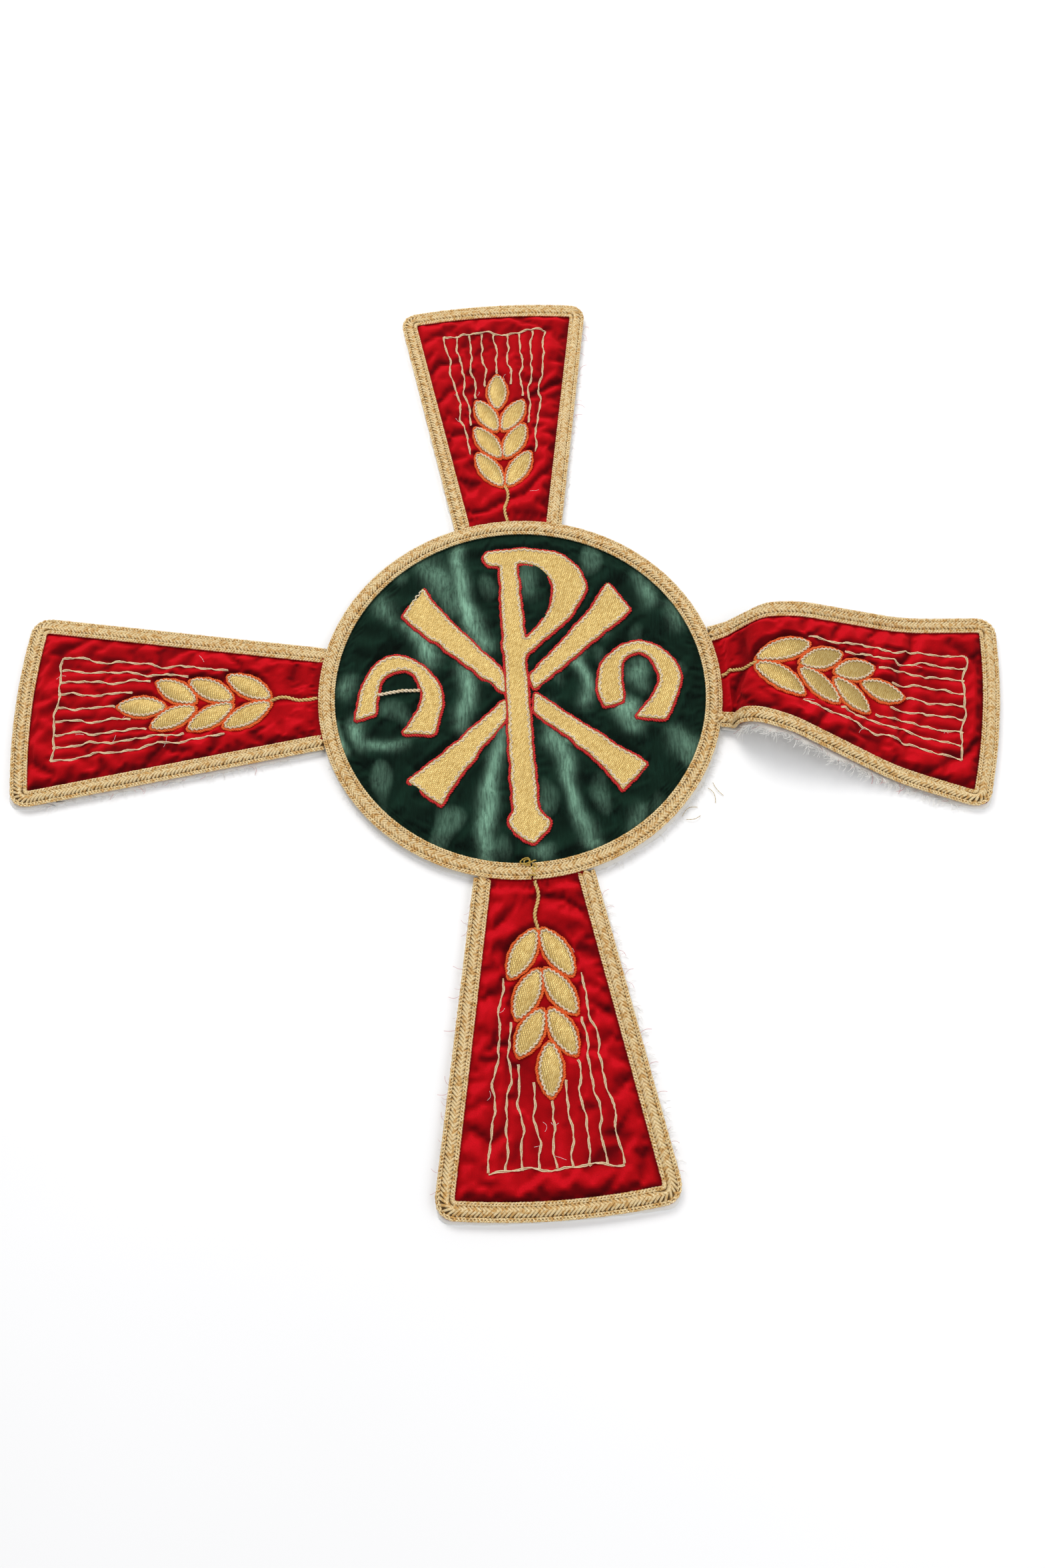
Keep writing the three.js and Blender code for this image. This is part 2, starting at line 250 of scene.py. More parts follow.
def resample(line, spacing, closed=False):
    """Points along a polyline at an even spacing."""
    line = np.asarray(line, float)
    if closed:
        line = np.vstack([line, line[:1]])
    steps = np.linalg.norm(np.diff(line, axis=0), axis=1)
    run = np.concatenate([[0], np.cumsum(steps)])
    count = max(3, int(round(run[-1] / spacing)))
    at = np.linspace(0, run[-1], count + 1)
    made = np.stack([np.interp(at, run, line[:, k]) for k in range(line.shape[1])], axis=1)
    return made[:-1] if closed else made


def line_length(line, closed=False):
    line = np.asarray(line, float)
    if closed:
        line = np.vstack([line, line[:1]])
    return float(np.linalg.norm(np.diff(line, axis=0), axis=1).sum())


def aside(line, distance, closed=False):
    """A flat line moved to its left by a distance."""
    line = np.asarray(line, float)
    if closed:
        ahead, behind = np.roll(line, -1, axis=0), np.roll(line, 1, axis=0)
    else:
        ahead = np.vstack([line[1:], line[-1:]])
        behind = np.vstack([line[:1], line[:-1]])
    along = ahead[:, :2] - behind[:, :2]
    along /= np.linalg.norm(along, axis=1)[:, None] + 1e-9
    moved = line.copy()
    moved[:, 0] -= along[:, 1] * distance
    moved[:, 1] += along[:, 0] * distance
    return moved


def waves(x, y, seed, size, count=18):
    """Smooth noise between about -1 and 1, whose lumps are about size across."""
    rng = np.random.default_rng(seed)
    total = np.zeros(np.shape(x))
    for _ in range(count):
        angle, phase = rng.uniform(0, 2 * math.pi, 2)
        rate = 2 * math.pi / (size * rng.uniform(1.3, 3.2))
        total += np.cos(rate * (x * math.cos(angle) + y * math.sin(angle)) + phase)
    return total / math.sqrt(count)


def distance_to_line(x, y, line):
    """Distance from points to a flat polyline, and how far along it the nearest point is."""
    best = np.full(np.shape(x), 1e9)
    share = np.zeros(np.shape(x))
    count = len(line) - 1
    for i in range(count):
        (ax, ay), (bx, by) = line[i][:2], line[i + 1][:2]
        dx, dy = bx - ax, by - ay
        part = np.clip(((x - ax) * dx + (y - ay) * dy) / (dx * dx + dy * dy + 1e-9), 0, 1)
        gap = np.hypot(x - ax - part * dx, y - ay - part * dy)
        nearer = gap < best
        best = np.where(nearer, gap, best)
        share = np.where(nearer, (i + part) / count, share)
    return best, share


# ---- Geometry Nodes ----


def add_node(tree, kind, inputs=None, **settings):
    """A node with its settings made and its inputs linked or set."""
    made = tree.nodes.new(kind)
    for key, value in settings.items():
        setattr(made, key, value)
    for key, value in (inputs or {}).items():
        if isinstance(value, bpy.types.NodeSocket):
            tree.links.new(value, made.inputs[key])
        else:
            made.inputs[key].default_value = value
    return made


def calc(tree, operation, *values):
    inputs = dict(enumerate(values))
    return add_node(tree, "ShaderNodeMath", inputs, operation=operation).outputs[0]


def vector_calc(tree, operation, *values):
    inputs = dict(enumerate(values))
    made = add_node(tree, "ShaderNodeVectorMath", inputs, operation=operation)
    return made.outputs[1 if operation in ("LENGTH", "DOT_PRODUCT") else 0]


def scaled(tree, vector, by):
    made = add_node(tree, "ShaderNodeVectorMath", {0: vector, 3: by}, operation="SCALE")
    return made.outputs[0]


SOCKETS = {
    "float": "NodeSocketFloat",
    "int": "NodeSocketInt",
    "material": "NodeSocketMaterial",
    "color": "NodeSocketColor",
    "vector": "NodeSocketVector",
}


def new_geometry_tree(name, **inputs):
    """A tree whose first input and only output are geometry; inputs gives name=(kind, value)."""
    tree = bpy.data.node_groups.new(name, "GeometryNodeTree")
    face = tree.interface
    face.new_socket(name="Geometry", in_out="INPUT", socket_type="NodeSocketGeometry")
    face.new_socket(name="Geometry", in_out="OUTPUT", socket_type="NodeSocketGeometry")
    for key, (kind, value) in inputs.items():
        socket = face.new_socket(name=key, in_out="INPUT", socket_type=SOCKETS[kind])
        if value is not None:
            socket.default_value = value
    return tree, tree.nodes.new("NodeGroupInput"), tree.nodes.new("NodeGroupOutput")


def path_axes(tree):
    """Along, side and up at each point of a guide."""
    up = add_node(tree, "GeometryNodeInputNamedAttribute", {"Name": "up"}, data_type="FLOAT_VECTOR")
    along = tree.nodes.new("GeometryNodeInputTangent").outputs[0]
    side = vector_calc(tree, "NORMALIZE", vector_calc(tree, "CROSS_PRODUCT", up.outputs[0], along))
    return along, side, up.outputs[0]


def evenly(tree, geometry, spacing):
    """A guide as a curve whose points lie at an even spacing."""
    curve = add_node(tree, "GeometryNodeMeshToCurve", {0: geometry})
    inputs = {"Curve": curve.outputs[0], "Length": spacing}
    return add_node(tree, "GeometryNodeResampleCurve", inputs, mode="LENGTH").outputs[0]


def facing(tree, up, forward):
    """The rotation that turns a unit's Z to up and its X to forward."""
    inputs = {"Primary Axis": up, "Secondary Axis": forward}
    axes = {"primary_axis": "Z", "secondary_axis": "X"}
    return add_node(tree, "FunctionNodeAxesToRotation", inputs, **axes).outputs[0]


def marked(tree, geometry, name, value):
    """The geometry with a number stored on each point."""
    inputs = {"Geometry": geometry, "Name": name, "Value": value}
    kind = {"data_type": "FLOAT", "domain": "POINT"}
    return add_node(tree, "GeometryNodeStoreNamedAttribute", inputs, **kind).outputs[0]


def run_marked(tree, curve):
    """The curve with the millimetres run so far on each point, which the yarn's twist follows."""
    run = tree.nodes.new("GeometryNodeSplineParameter").outputs["Length"]
    return marked(tree, curve, "run", calc(tree, "MULTIPLY", run, 1000.0))


def yarn(tree, curve, sides, radius):
    """Yarn round a curve, each point marked with its share of a turn round it."""
    ring = add_node(tree, "GeometryNodeCurvePrimitiveCircle", {"Resolution": sides, "Radius": radius})
    around = tree.nodes.new("GeometryNodeSplineParameter").outputs["Factor"]
    profile = marked(tree, ring.outputs[0], "around", around)
    inputs = {"Curve": curve, "Profile Curve": profile, "Fill Caps": True}
    return add_node(tree, "GeometryNodeCurveToMesh", inputs).outputs[0]


def strand_tree():
    """One strand that follows a guide, swaying to its sides and looping as it goes."""
    tree, given, out = new_geometry_tree(
        "strand",
        Pitch=("float", 0.003),
        Steps=("int", 10),
        Sides=("int", 5),
        Radius=("float", 0.0004),
        Offset=("float", 0.0),
        Sway=("float", 0.0),
        Loop=("float", 0.0),
        Height=("float", 0.0),
        Lift=("float", 0.0),
        Phase=("float", 0.0),
        Wave=("float", 0.0),
        WavePitch=("float", 0.01),
        Wander=("float", 0.0),
        Seed=("float", 0.0),
    )
    value = given.outputs
    even = evenly(tree, value["Geometry"], calc(tree, "DIVIDE", value["Pitch"], value["Steps"]))
    run = tree.nodes.new("GeometryNodeSplineParameter").outputs["Length"]
    along, side, up = path_axes(tree)
    turns = calc(tree, "MULTIPLY", calc(tree, "DIVIDE", run, value["Pitch"]), 2 * math.pi)
    angle = calc(tree, "ADD", turns, value["Phase"])
    wave_turns = calc(tree, "MULTIPLY", calc(tree, "DIVIDE", run, value["WavePitch"]), 2 * math.pi)
    wave = calc(tree, "MULTIPLY", calc(tree, "SINE", wave_turns), value["Wave"])
    place = tree.nodes.new("GeometryNodeInputPosition").outputs[0]
    drift = add_node(
        tree,
        "ShaderNodeTexNoise",
        {"Vector": scaled(tree, place, 420.0), "W": value["Seed"], "Scale": 1.0},
        noise_dimensions="4D",
    )
    drift = vector_calc(tree, "SUBTRACT", drift.outputs["Color"], (0.5, 0.5, 0.5))
    sway = calc(tree, "MULTIPLY", calc(tree, "COSINE", angle), value["Sway"])
    sideways = calc(tree, "ADD", calc(tree, "ADD", value["Offset"], wave), sway)
    lift = calc(tree, "MULTIPLY", calc(tree, "SINE", angle), value["Lift"])
    upwards = calc(tree, "ADD", value["Height"], lift)
    forwards = calc(tree, "MULTIPLY", calc(tree, "SINE", calc(tree, "MULTIPLY", angle, 2.0)), value["Loop"])
    moved = vector_calc(tree, "ADD", scaled(tree, side, sideways), scaled(tree, up, upwards))
    moved = vector_calc(tree, "ADD", moved, scaled(tree, along, forwards))
    moved = vector_calc(tree, "ADD", moved, scaled(tree, drift, value["Wander"]))
    inputs = {"Geometry": run_marked(tree, even), "Offset": moved}
    bent = add_node(tree, "GeometryNodeSetPosition", inputs).outputs[0]
    tree.links.new(yarn(tree, bent, value["Sides"], value["Radius"]), out.inputs[0])
    return tree


STRAND = strand_tree()


def strand_node(tree, geometry, **inputs):
    made = tree.nodes.new("GeometryNodeGroup")
    made.node_tree = STRAND
    tree.links.new(geometry, made.inputs["Geometry"])
    for key, value in inputs.items():
        if isinstance(value, bpy.types.NodeSocket):
            tree.links.new(value, made.inputs[key])
        else:
            made.inputs[key].default_value = value
    return made.outputs[0]


def end_tree(tree, given, out, parts):
    """Joins the parts, makes them real and gives them the material."""
    joined = tree.nodes.new("GeometryNodeJoinGeometry")
    for part in parts:
        tree.links.new(part, joined.inputs[0])
    real = add_node(tree, "GeometryNodeRealizeInstances", {0: joined.outputs[0]})
    smooth = add_node(tree, "GeometryNodeSetShadeSmooth", {0: real.outputs[0]})
    inputs = {"Geometry": smooth.outputs[0], "Material": given.outputs["Material"]}
    finished = add_node(tree, "GeometryNodeSetMaterial", inputs)
    tree.links.new(finished.outputs[0], out.inputs[0])
    return tree


def twisted_cord_tree():
    """Two plies turning round one another along a guide."""
    tree, given, out = new_geometry_tree(
        "twisted_cord",
        Pitch=("float", 0.003),
        Steps=("int", 8),
        PlyRadius=("float", 0.0004),
        Twist=("float", 0.0003),
        Height=("float", 0.0),
        Wave=("float", 0.0),
        WavePitch=("float", 0.01),
        Wander=("float", 0.0),
        Seed=("float", 0.0),
        Material=("material", None),
    )
    value = given.outputs
    parts = []
    for phase in (0.0, math.pi):
        parts.append(
            strand_node(
                tree,
                value["Geometry"],
                Pitch=value["Pitch"],
                Steps=value["Steps"],
                Radius=value["PlyRadius"],
                Sway=value["Twist"],
                Lift=value["Twist"],
                Height=value["Height"],
                Wave=value["Wave"],
                WavePitch=value["WavePitch"],
                Wander=value["Wander"],
                Seed=value["Seed"],
                Phase=phase,
            )
        )
    return end_tree(tree, given, out, parts)


def stitches(tree, geometry, spacing, unit, seed):
    """Copies of a unit along a guide, each turned to follow it."""
    along, _, up = path_axes(tree)
    size = add_node(
        tree,
        "FunctionNodeRandomValue",
        {0: (0.92, 0.94, 0.9), 1: (1.06, 1.04, 1.1), "Seed": seed},
        data_type="FLOAT_VECTOR",
    )
    return add_node(
        tree,
        "GeometryNodeInstanceOnPoints",
        {
            "Points": evenly(tree, geometry, spacing),
            "Instance": unit,
            "Rotation": facing(tree, up, along),
            "Scale": size.outputs[0],
        },
    ).outputs[0]


def slanted_unit(tree, start, middle, end, radius):
    """A short bent length of cord."""
    spine = add_node(
        tree,
        "GeometryNodeCurveQuadraticBezier",
        {"Resolution": 5, "Start": start, "Middle": middle, "End": end},
    )
    return yarn(tree, run_marked(tree, spine.outputs[0]), 5, radius)


def gimp_braid_tree():
    """The braid: a raised rib of slanted cords between two chains of loops."""
    tree, given, out = new_geometry_tree(
        "gimp_braid",
        Pitch=("float", 0.0034),
        RibSpacing=("float", 0.0021),
        ChainOffset=("float", 0.0036),
        Seed=("int", 3),
        Material=("material", None),
    )
    value = given.outputs
    parts = []
    for side, seed in ((1.0, 1.0), (-1.0, 2.0)):
        offset = calc(tree, "MULTIPLY", value["ChainOffset"], side)
        for phase in (0.0, math.pi):
            parts.append(
                strand_node(
                    tree,
                    value["Geometry"],
                    Pitch=value["Pitch"],
                    Steps=10,
                    Radius=0.00062,
                    Offset=offset,
                    Sway=0.00066 * side,
                    Loop=0.0004,
                    Height=0.0009,
                    Lift=0.0004,
                    Phase=phase,
                    Wander=0.0004,
                    Seed=seed + phase,
                )
            )
    # The rib's cords slant out to the left and to the right, the left ones over the right.
    slants = (
        ((-0.0006, -0.0009, 0.0014), (0.0013, 0.0006, 0.0027), (0.0031, 0.0021, 0.0009)),
        ((0, -0.0002, 0.0014), (0.001, -0.0012, 0.0024), (0.0025, -0.0022, 0.0008)),
    )
    for seed, (start, middle, end) in enumerate(slants, 5):
        unit = slanted_unit(tree, start, middle, end, 0.0008)
        parts.append(stitches(tree, value["Geometry"], value["RibSpacing"], unit, seed))
    return end_tree(tree, given, out, parts)


def fray_tree():
    """Fine loose fibres that stand out to one side of a guide."""
    tree, given, out = new_geometry_tree(
        "fray",
        Spacing=("float", 0.0004),
        Length=("float", 0.003),
        Thickness=("float", 0.00006),
        Seed=("int", 1),
        Material=("material", None),
    )
    value = given.outputs
    _, side, up = path_axes(tree)
    swing = add_node(
        tree,
        "FunctionNodeRandomValue",
        {0: (-0.5, -0.55, -1.1), 1: (0.5, 0.15, 1.1), "Seed": value["Seed"]},
        data_type="FLOAT_VECTOR",
    )
    swung = add_node(tree, "FunctionNodeEulerToRotation", {0: swing.outputs[0]})
    aim = add_node(
        tree,
        "FunctionNodeRotateRotation",
        {0: facing(tree, up, side), 1: swung.outputs[0]},
        rotation_space="LOCAL",
    )
    reach = add_node(
        tree,
        "FunctionNodeRandomValue",
        {2: 0.0, 3: 1.0, "Seed": calc(tree, "ADD", value["Seed"], 11)},
        data_type="FLOAT",
    )
    # Most fibres are short, and a few reach the full length.
    stretch = calc(tree, "ADD", calc(tree, "POWER", reach.outputs[1], 2.2), 0.18)
    size = scaled(tree, (1.0, 1.0, 1.0), calc(tree, "MULTIPLY", stretch, value["Length"]))
    spine = add_node(
        tree,
        "GeometryNodeCurveQuadraticBezier",
        {"Resolution": 5, "Start": (0, 0, 0), "Middle": (0.5, 0.25, 0.12), "End": (1.0, -0.12, -0.05)},
    )
    thickness = calc(tree, "DIVIDE", value["Thickness"], value["Length"])
    ring = add_node(tree, "GeometryNodeCurvePrimitiveCircle", {"Resolution": 3, "Radius": thickness})
    hair = add_node(
        tree,
        "GeometryNodeCurveToMesh",
        {"Curve": spine.outputs[0], "Profile Curve": ring.outputs[0], "Fill Caps": True},
    )
    placed = add_node(
        tree,
        "GeometryNodeInstanceOnPoints",
        {
            "Points": evenly(tree, value["Geometry"], value["Spacing"]),
            "Instance": hair.outputs[0],
            "Rotation": aim.outputs[0],
            "Scale": size,
        },
    )
    return end_tree(tree, given, out, [placed.outputs[0]])


TWISTED = twisted_cord_tree()
GIMP = gimp_braid_tree()
FRAY = fray_tree()


def grow(obj, tree, **inputs):
    """Runs a tree on a guide and keeps the plain mesh that comes out."""
    modifier = obj.modifiers.new("grow", "NODES")
    modifier.node_group = tree
    identifiers = {s.name: s.identifier for s in tree.interface.items_tree if s.in_out == "INPUT"}
    for key, value in inputs.items():
        modifier[identifiers[key]] = value
    bpy.context.view_layer.update()
    graph = bpy.context.evaluated_depsgraph_get()
    made = bpy.data.meshes.new_from_object(
        obj.evaluated_get(graph), preserve_all_data_layers=True, depsgraph=graph
    )
    obj.modifiers.clear()
    obj.data = made
    made.name = obj.name
    return obj


# ---- Materials ----


def rgb(code):
    """A colour written as in a web page, as linear light."""
    parts = [int(code[i : i + 2], 16) / 255 for i in (0, 2, 4)]
    linear = [p / 12.92 if p <= 0.04045 else ((p + 0.055) / 1.055) ** 2.4 for p in parts]
    return (*linear, 1.0)


def new_shader_group(name, inputs, outputs):
    tree = bpy.data.node_groups.new(name, "ShaderNodeTree")
    for key, (kind, value) in inputs.items():
        socket = tree.interface.new_socket(name=key, in_out="INPUT", socket_type=SOCKETS[kind])
        socket.default_value = value
    for key, kind in outputs.items():
        tree.interface.new_socket(name=key, in_out="OUTPUT", socket_type=SOCKETS[kind])
    return tree, tree.nodes.new("NodeGroupInput"), tree.nodes.new("NodeGroupOutput")


def noise(tree, vector, scale, detail=2.0, rough=0.5):
    inputs = {"Vector": vector, "Scale": scale, "Detail": detail, "Roughness": rough}
    return add_node(tree, "ShaderNodeTexNoise", inputs).outputs["Fac"]


def between(tree, value, low, high, start=0.0, end=1.0):
    inputs = {0: value, 1: low, 2: high, 3: start, 4: end}
    return add_node(tree, "ShaderNodeMapRange", inputs, clamp=True).outputs[0]


def mix(tree, share, a, b):
    """A colour that goes from a to b as share goes from 0 to 1."""
    return add_node(tree, "ShaderNodeMix", {0: share, 6: a, 7: b}, data_type="RGBA").outputs[2]


def attribute(tree, name):
    return add_node(tree, "ShaderNodeAttribute", attribute_name=name).outputs["Fac"]


def turned(tree, vector, degrees, stretch=(1, 1, 1)):
    inputs = {0: vector, "Rotation": (0, 0, math.radians(degrees)), "Scale": stretch}
    return add_node(tree, "ShaderNodeMapping", inputs).outputs[0]


def twist_group():
    """Plies of a yarn: lines that wind round the strand."""
    tree, given, out = new_shader_group(
        "yarn_twist",
        {
            "Run": ("float", 0.0),
            "Around": ("float", 0.0),
            "Pitch": ("float", 0.7),
            "Vector": ("vector", (0, 0, 0)),
        },
        {"Line": "float", "Glint": "float"},
    )
    value = given.outputs
    turns = calc(tree, "ADD", calc(tree, "DIVIDE", value["Run"], value["Pitch"]), value["Around"])
    line = calc(tree, "SINE", calc(tree, "MULTIPLY", turns, 4 * math.pi))
    line = calc(tree, "ADD", calc(tree, "MULTIPLY", line, 0.5), 0.5)
    glint = noise(tree, value["Vector"], 1400.0, 3.0, 0.7)
    tree.links.new(line, out.inputs["Line"])
    tree.links.new(between(tree, glint, 0.35, 0.68), out.inputs["Glint"])
    return tree


def weave_group():
    """A fine twill: threads that cross in diagonal steps."""
    tree, given, out = new_shader_group(
        "twill_weave",
        {"Vector": ("vector", (0, 0, 0)), "Angle": ("float", 0.6), "Pitch": ("float", 0.0008)},
        {"Height": "float", "Thread": "float"},
    )
    value = given.outputs
    spun = add_node(
        tree,
        "ShaderNodeVectorRotate",
        {"Vector": value["Vector"], "Angle": value["Angle"]},
        rotation_type="Z_AXIS",
    )
    wobble = noise(tree, value["Vector"], 260.0, 2.0)
    wobble = calc(tree, "MULTIPLY", calc(tree, "SUBTRACT", wobble, 0.5), 1.1)
    split = add_node(tree, "ShaderNodeSeparateXYZ", {0: spun.outputs[0]})
    across = calc(tree, "ADD", calc(tree, "DIVIDE", split.outputs[0], value["Pitch"]), wobble)
    along = calc(tree, "DIVIDE", split.outputs[1], value["Pitch"])
    rib = calc(tree, "SINE", calc(tree, "MULTIPLY", across, 2 * math.pi))
    step = calc(tree, "ADD", calc(tree, "MULTIPLY", along, 0.55), calc(tree, "MULTIPLY", across, 0.5))
    step = calc(tree, "SINE", calc(tree, "MULTIPLY", step, 2 * math.pi))
    height = calc(tree, "ADD", calc(tree, "MULTIPLY", rib, 0.28), calc(tree, "MULTIPLY", step, 0.26))
    tree.links.new(calc(tree, "ADD", height, 0.5), out.inputs["Height"])
    thread = noise(tree, turned(tree, spun.outputs[0], 0, (1, 0.25, 1)), 1500.0, 2.0)
    tree.links.new(between(tree, thread, 0.3, 0.7), out.inputs["Thread"])
    return tree


def pile_group():
    """Velvet pile: soft clumps, fine lines where the pile is brushed, and the grain of its tips."""
    tree, given, out = new_shader_group(
        "velvet_pile",
        {"Vector": ("vector", (0, 0, 0)), "Angle": ("float", 0.0)},
        {"Clump": "float", "Brush": "float", "Tip": "float"},
    )
    value = given.outputs
    spun = add_node(
        tree,
        "ShaderNodeVectorRotate",
        {"Vector": value["Vector"], "Angle": value["Angle"]},
        rotation_type="Z_AXIS",
    )
    clump = between(tree, noise(tree, value["Vector"], 75.0, 4.0, 0.55), 0.32, 0.7)
    brushed = turned(tree, spun.outputs[0], 0, (1.0, 0.11, 1.0))
    brush = between(tree, noise(tree, brushed, 900.0, 3.0, 0.65), 0.33, 0.68)
    tip = noise(tree, value["Vector"], 3200.0, 2.0, 0.6)
    for key, socket in (("Clump", clump), ("Brush", brush), ("Tip", tip)):
        tree.links.new(socket, out.inputs[key])
    return tree


TWIST_LINES = twist_group()
WEAVE = weave_group()
PILE = pile_group()


def use(tree, group, inputs):
    made = add_node(tree, "ShaderNodeGroup", node_tree=group)
    for key, value in inputs.items():
        if isinstance(value, bpy.types.NodeSocket):
            tree.links.new(value, made.inputs[key])
        else:
            made.inputs[key].default_value = value
    return made.outputs


def new_material(name, **constants):
    """A material, its node tree, its shader and its object coordinates."""
    made = bpy.data.materials.new(name)
    made.use_nodes = True
    tree = made.node_tree
    shader = tree.nodes["Principled BSDF"]
    for key, value in constants.items():
        shader.inputs[key.replace("_", " ")].default_value = value
    place = tree.nodes.new("ShaderNodeTexCoord").outputs["Object"]
    return made, tree, shader, place


def bump(tree, shader, height, depth, strength=1.0):
    inputs = {"Height": height, "Distance": depth, "Strength": strength}
    tree.links.new(add_node(tree, "ShaderNodeBump", inputs).outputs[0], shader.inputs["Normal"])


def yarn_material(name, dark, light, glint, metal, rough, pitch, fleck=0.0):
    made, tree, shader, place = new_material(name, Metallic=metal, Roughness=rough)
    run, around = attribute(tree, "run"), attribute(tree, "around")
    twist = use(tree, TWIST_LINES, {"Run": run, "Around": around, "Pitch": pitch, "Vector": place})
    broad = between(tree, noise(tree, place, 130.0, 3.0), 0.3, 0.72)
    # Along the ply lines the colour runs from dark in the grooves to light on the crests: painted shade in
    # the grooves and a painted highlight on the crests. The glint spots mixed in next are painted
    # highlights.
    color = mix(tree, calc(tree, "MULTIPLY", twist["Line"], 0.85), rgb(dark), rgb(light))
    color = mix(tree, calc(tree, "MULTIPLY", broad, 0.3), color, rgb(dark))
    color = mix(tree, calc(tree, "MULTIPLY", twist["Glint"], 0.45), color, rgb(glint))
    flecked = between(tree, noise(tree, place, 430.0, 1.0), 0.52, 0.6)
    color = mix(tree, calc(tree, "MULTIPLY", flecked, fleck), color, rgb(dark))
    tree.links.new(color, shader.inputs["Base Color"])
    uneven = between(tree, twist["Glint"], 0.0, 1.0, rough + 0.12, max(0.05, rough - 0.1))
    tree.links.new(uneven, shader.inputs["Roughness"])
    bump(tree, shader, twist["Line"], 0.0001)
    return made


def lame_material(name, dark, light, glint, angle):
    made, tree, shader, place = new_material(name, Metallic=0.62, Roughness=0.42)
    woven = use(tree, WEAVE, {"Vector": place, "Angle": math.radians(angle), "Pitch": 0.00082})
    broad = between(tree, noise(tree, place, 60.0, 3.0), 0.3, 0.7)
    color = mix(tree, woven["Height"], rgb(dark), rgb(light))
    color = mix(tree, calc(tree, "MULTIPLY", woven["Thread"], 0.5), color, rgb(glint))
    color = mix(tree, calc(tree, "MULTIPLY", broad, 0.22), color, rgb(dark))
    tree.links.new(color, shader.inputs["Base Color"])
    tree.links.new(between(tree, woven["Thread"], 0.0, 1.0, 0.5, 0.34), shader.inputs["Roughness"])
    bump(tree, shader, woven["Height"], 0.00016)
    return made


def red_velvet_material():
    made, tree, shader, place = new_material("red_velvet", Roughness=0.86)
    shader.inputs["Sheen Weight"].default_value = 0.12
    shader.inputs["Sheen Roughness"].default_value = 0.5
    shader.inputs["Sheen Tint"].default_value = (1.0, 0.08, 0.1, 1.0)
    shader.inputs["Specular IOR Level"].default_value = 0.05
    pile = use(tree, PILE, {"Vector": place, "Angle": 0.4})
    lit = attribute(tree, "lit")
    lit = calc(tree, "ADD", lit, calc(tree, "MULTIPLY", calc(tree, "SUBTRACT", pile["Clump"], 0.5), 0.22))
    ramp = add_node(tree, "ShaderNodeValToRGB", {0: lit})
    stops = ramp.color_ramp.elements
    stops[0].position, stops[0].color = 0.0, rgb("3e0205")
    stops[1].position, stops[1].color = 1.0, rgb("d4101e")
    for position, code in ((0.3, "740309"), (0.55, "a0050d"), (0.8, "ba0913")):
        stop = stops.new(position)
        stop.color = rgb(code)
    grain = calc(tree, "MULTIPLY", between(tree, pile["Tip"], 0.3, 0.75), 0.42)
    color = mix(tree, grain, ramp.outputs[0], rgb("4a0207"))
    tree.links.new(color, shader.inputs["Base Color"])
    bump(tree, shader, pile["Tip"], 0.00012, 0.6)
    return made


def green_velvet_material():
    made, tree, shader, place = new_material("green_velvet", Roughness=0.86)
    shader.inputs["Sheen Weight"].default_value = 0.14
    shader.inputs["Sheen Roughness"].default_value = 0.4
    shader.inputs["Sheen Tint"].default_value = (0.35, 0.9, 0.65, 1.0)
    shader.inputs["Specular IOR Level"].default_value = 0.06
    pile = use(tree, PILE, {"Vector": place, "Angle": 0.03})
    lit = attribute(tree, "lit")
    crush = attribute(tree, "crush")
    lines = calc(tree, "ADD", calc(tree, "MULTIPLY", pile["Brush"], 0.75), 0.4)
    share = calc(tree, "MULTIPLY", crush, lines)
    clumps = calc(tree, "ADD", calc(tree, "MULTIPLY", pile["Clump"], 0.5), 0.65)
    share = calc(tree, "MULTIPLY", share, clumps)
    ground = mix(tree, between(tree, lit, 0.1, 0.9), rgb("030a06"), rgb("0d2218"))
    faint = calc(tree, "MULTIPLY", calc(tree, "MULTIPLY", pile["Brush"], pile["Clump"]), 0.22)
    ground = mix(tree, faint, ground, rgb("22483a"))
    color = mix(tree, share, ground, rgb("88b69c"))
    tree.links.new(color, shader.inputs["Base Color"])
    bump(tree, shader, pile["Tip"], 0.0001, 0.5)
    return made


def cotton_material(name, light, dark, pitch):
    made, tree, shader, place = new_material(name, Roughness=0.92)
    shader.inputs["Specular IOR Level"].default_value = 0.2
    woven = use(tree, WEAVE, {"Vector": place, "Angle": 0.1, "Pitch": pitch})
    stain = between(tree, noise(tree, place, 22.0, 4.0, 0.6), 0.35, 0.75)
    share = calc(tree, "ADD", calc(tree, "MULTIPLY", woven["Height"], 0.4), 0.4)
    color = mix(tree, share, rgb(dark), rgb(light))
    color = mix(tree, calc(tree, "MULTIPLY", stain, 0.25), color, rgb(dark))
    tree.links.new(color, shader.inputs["Base Color"])
    bump(tree, shader, woven["Height"], 0.00012, 0.5)
    return made


def lint_material(name, light, dark):
    made, tree, shader, place = new_material(name, Roughness=0.7)
    shade = noise(tree, place, 400.0, 2.0)
    tree.links.new(mix(tree, shade, rgb(dark), rgb(light)), shader.inputs["Base Color"])
    return made


BRAID = yarn_material("gold_braid", "c48e38", "fff1b8", "fffbe0", 0.22, 0.34, 0.9, fleck=0.7)
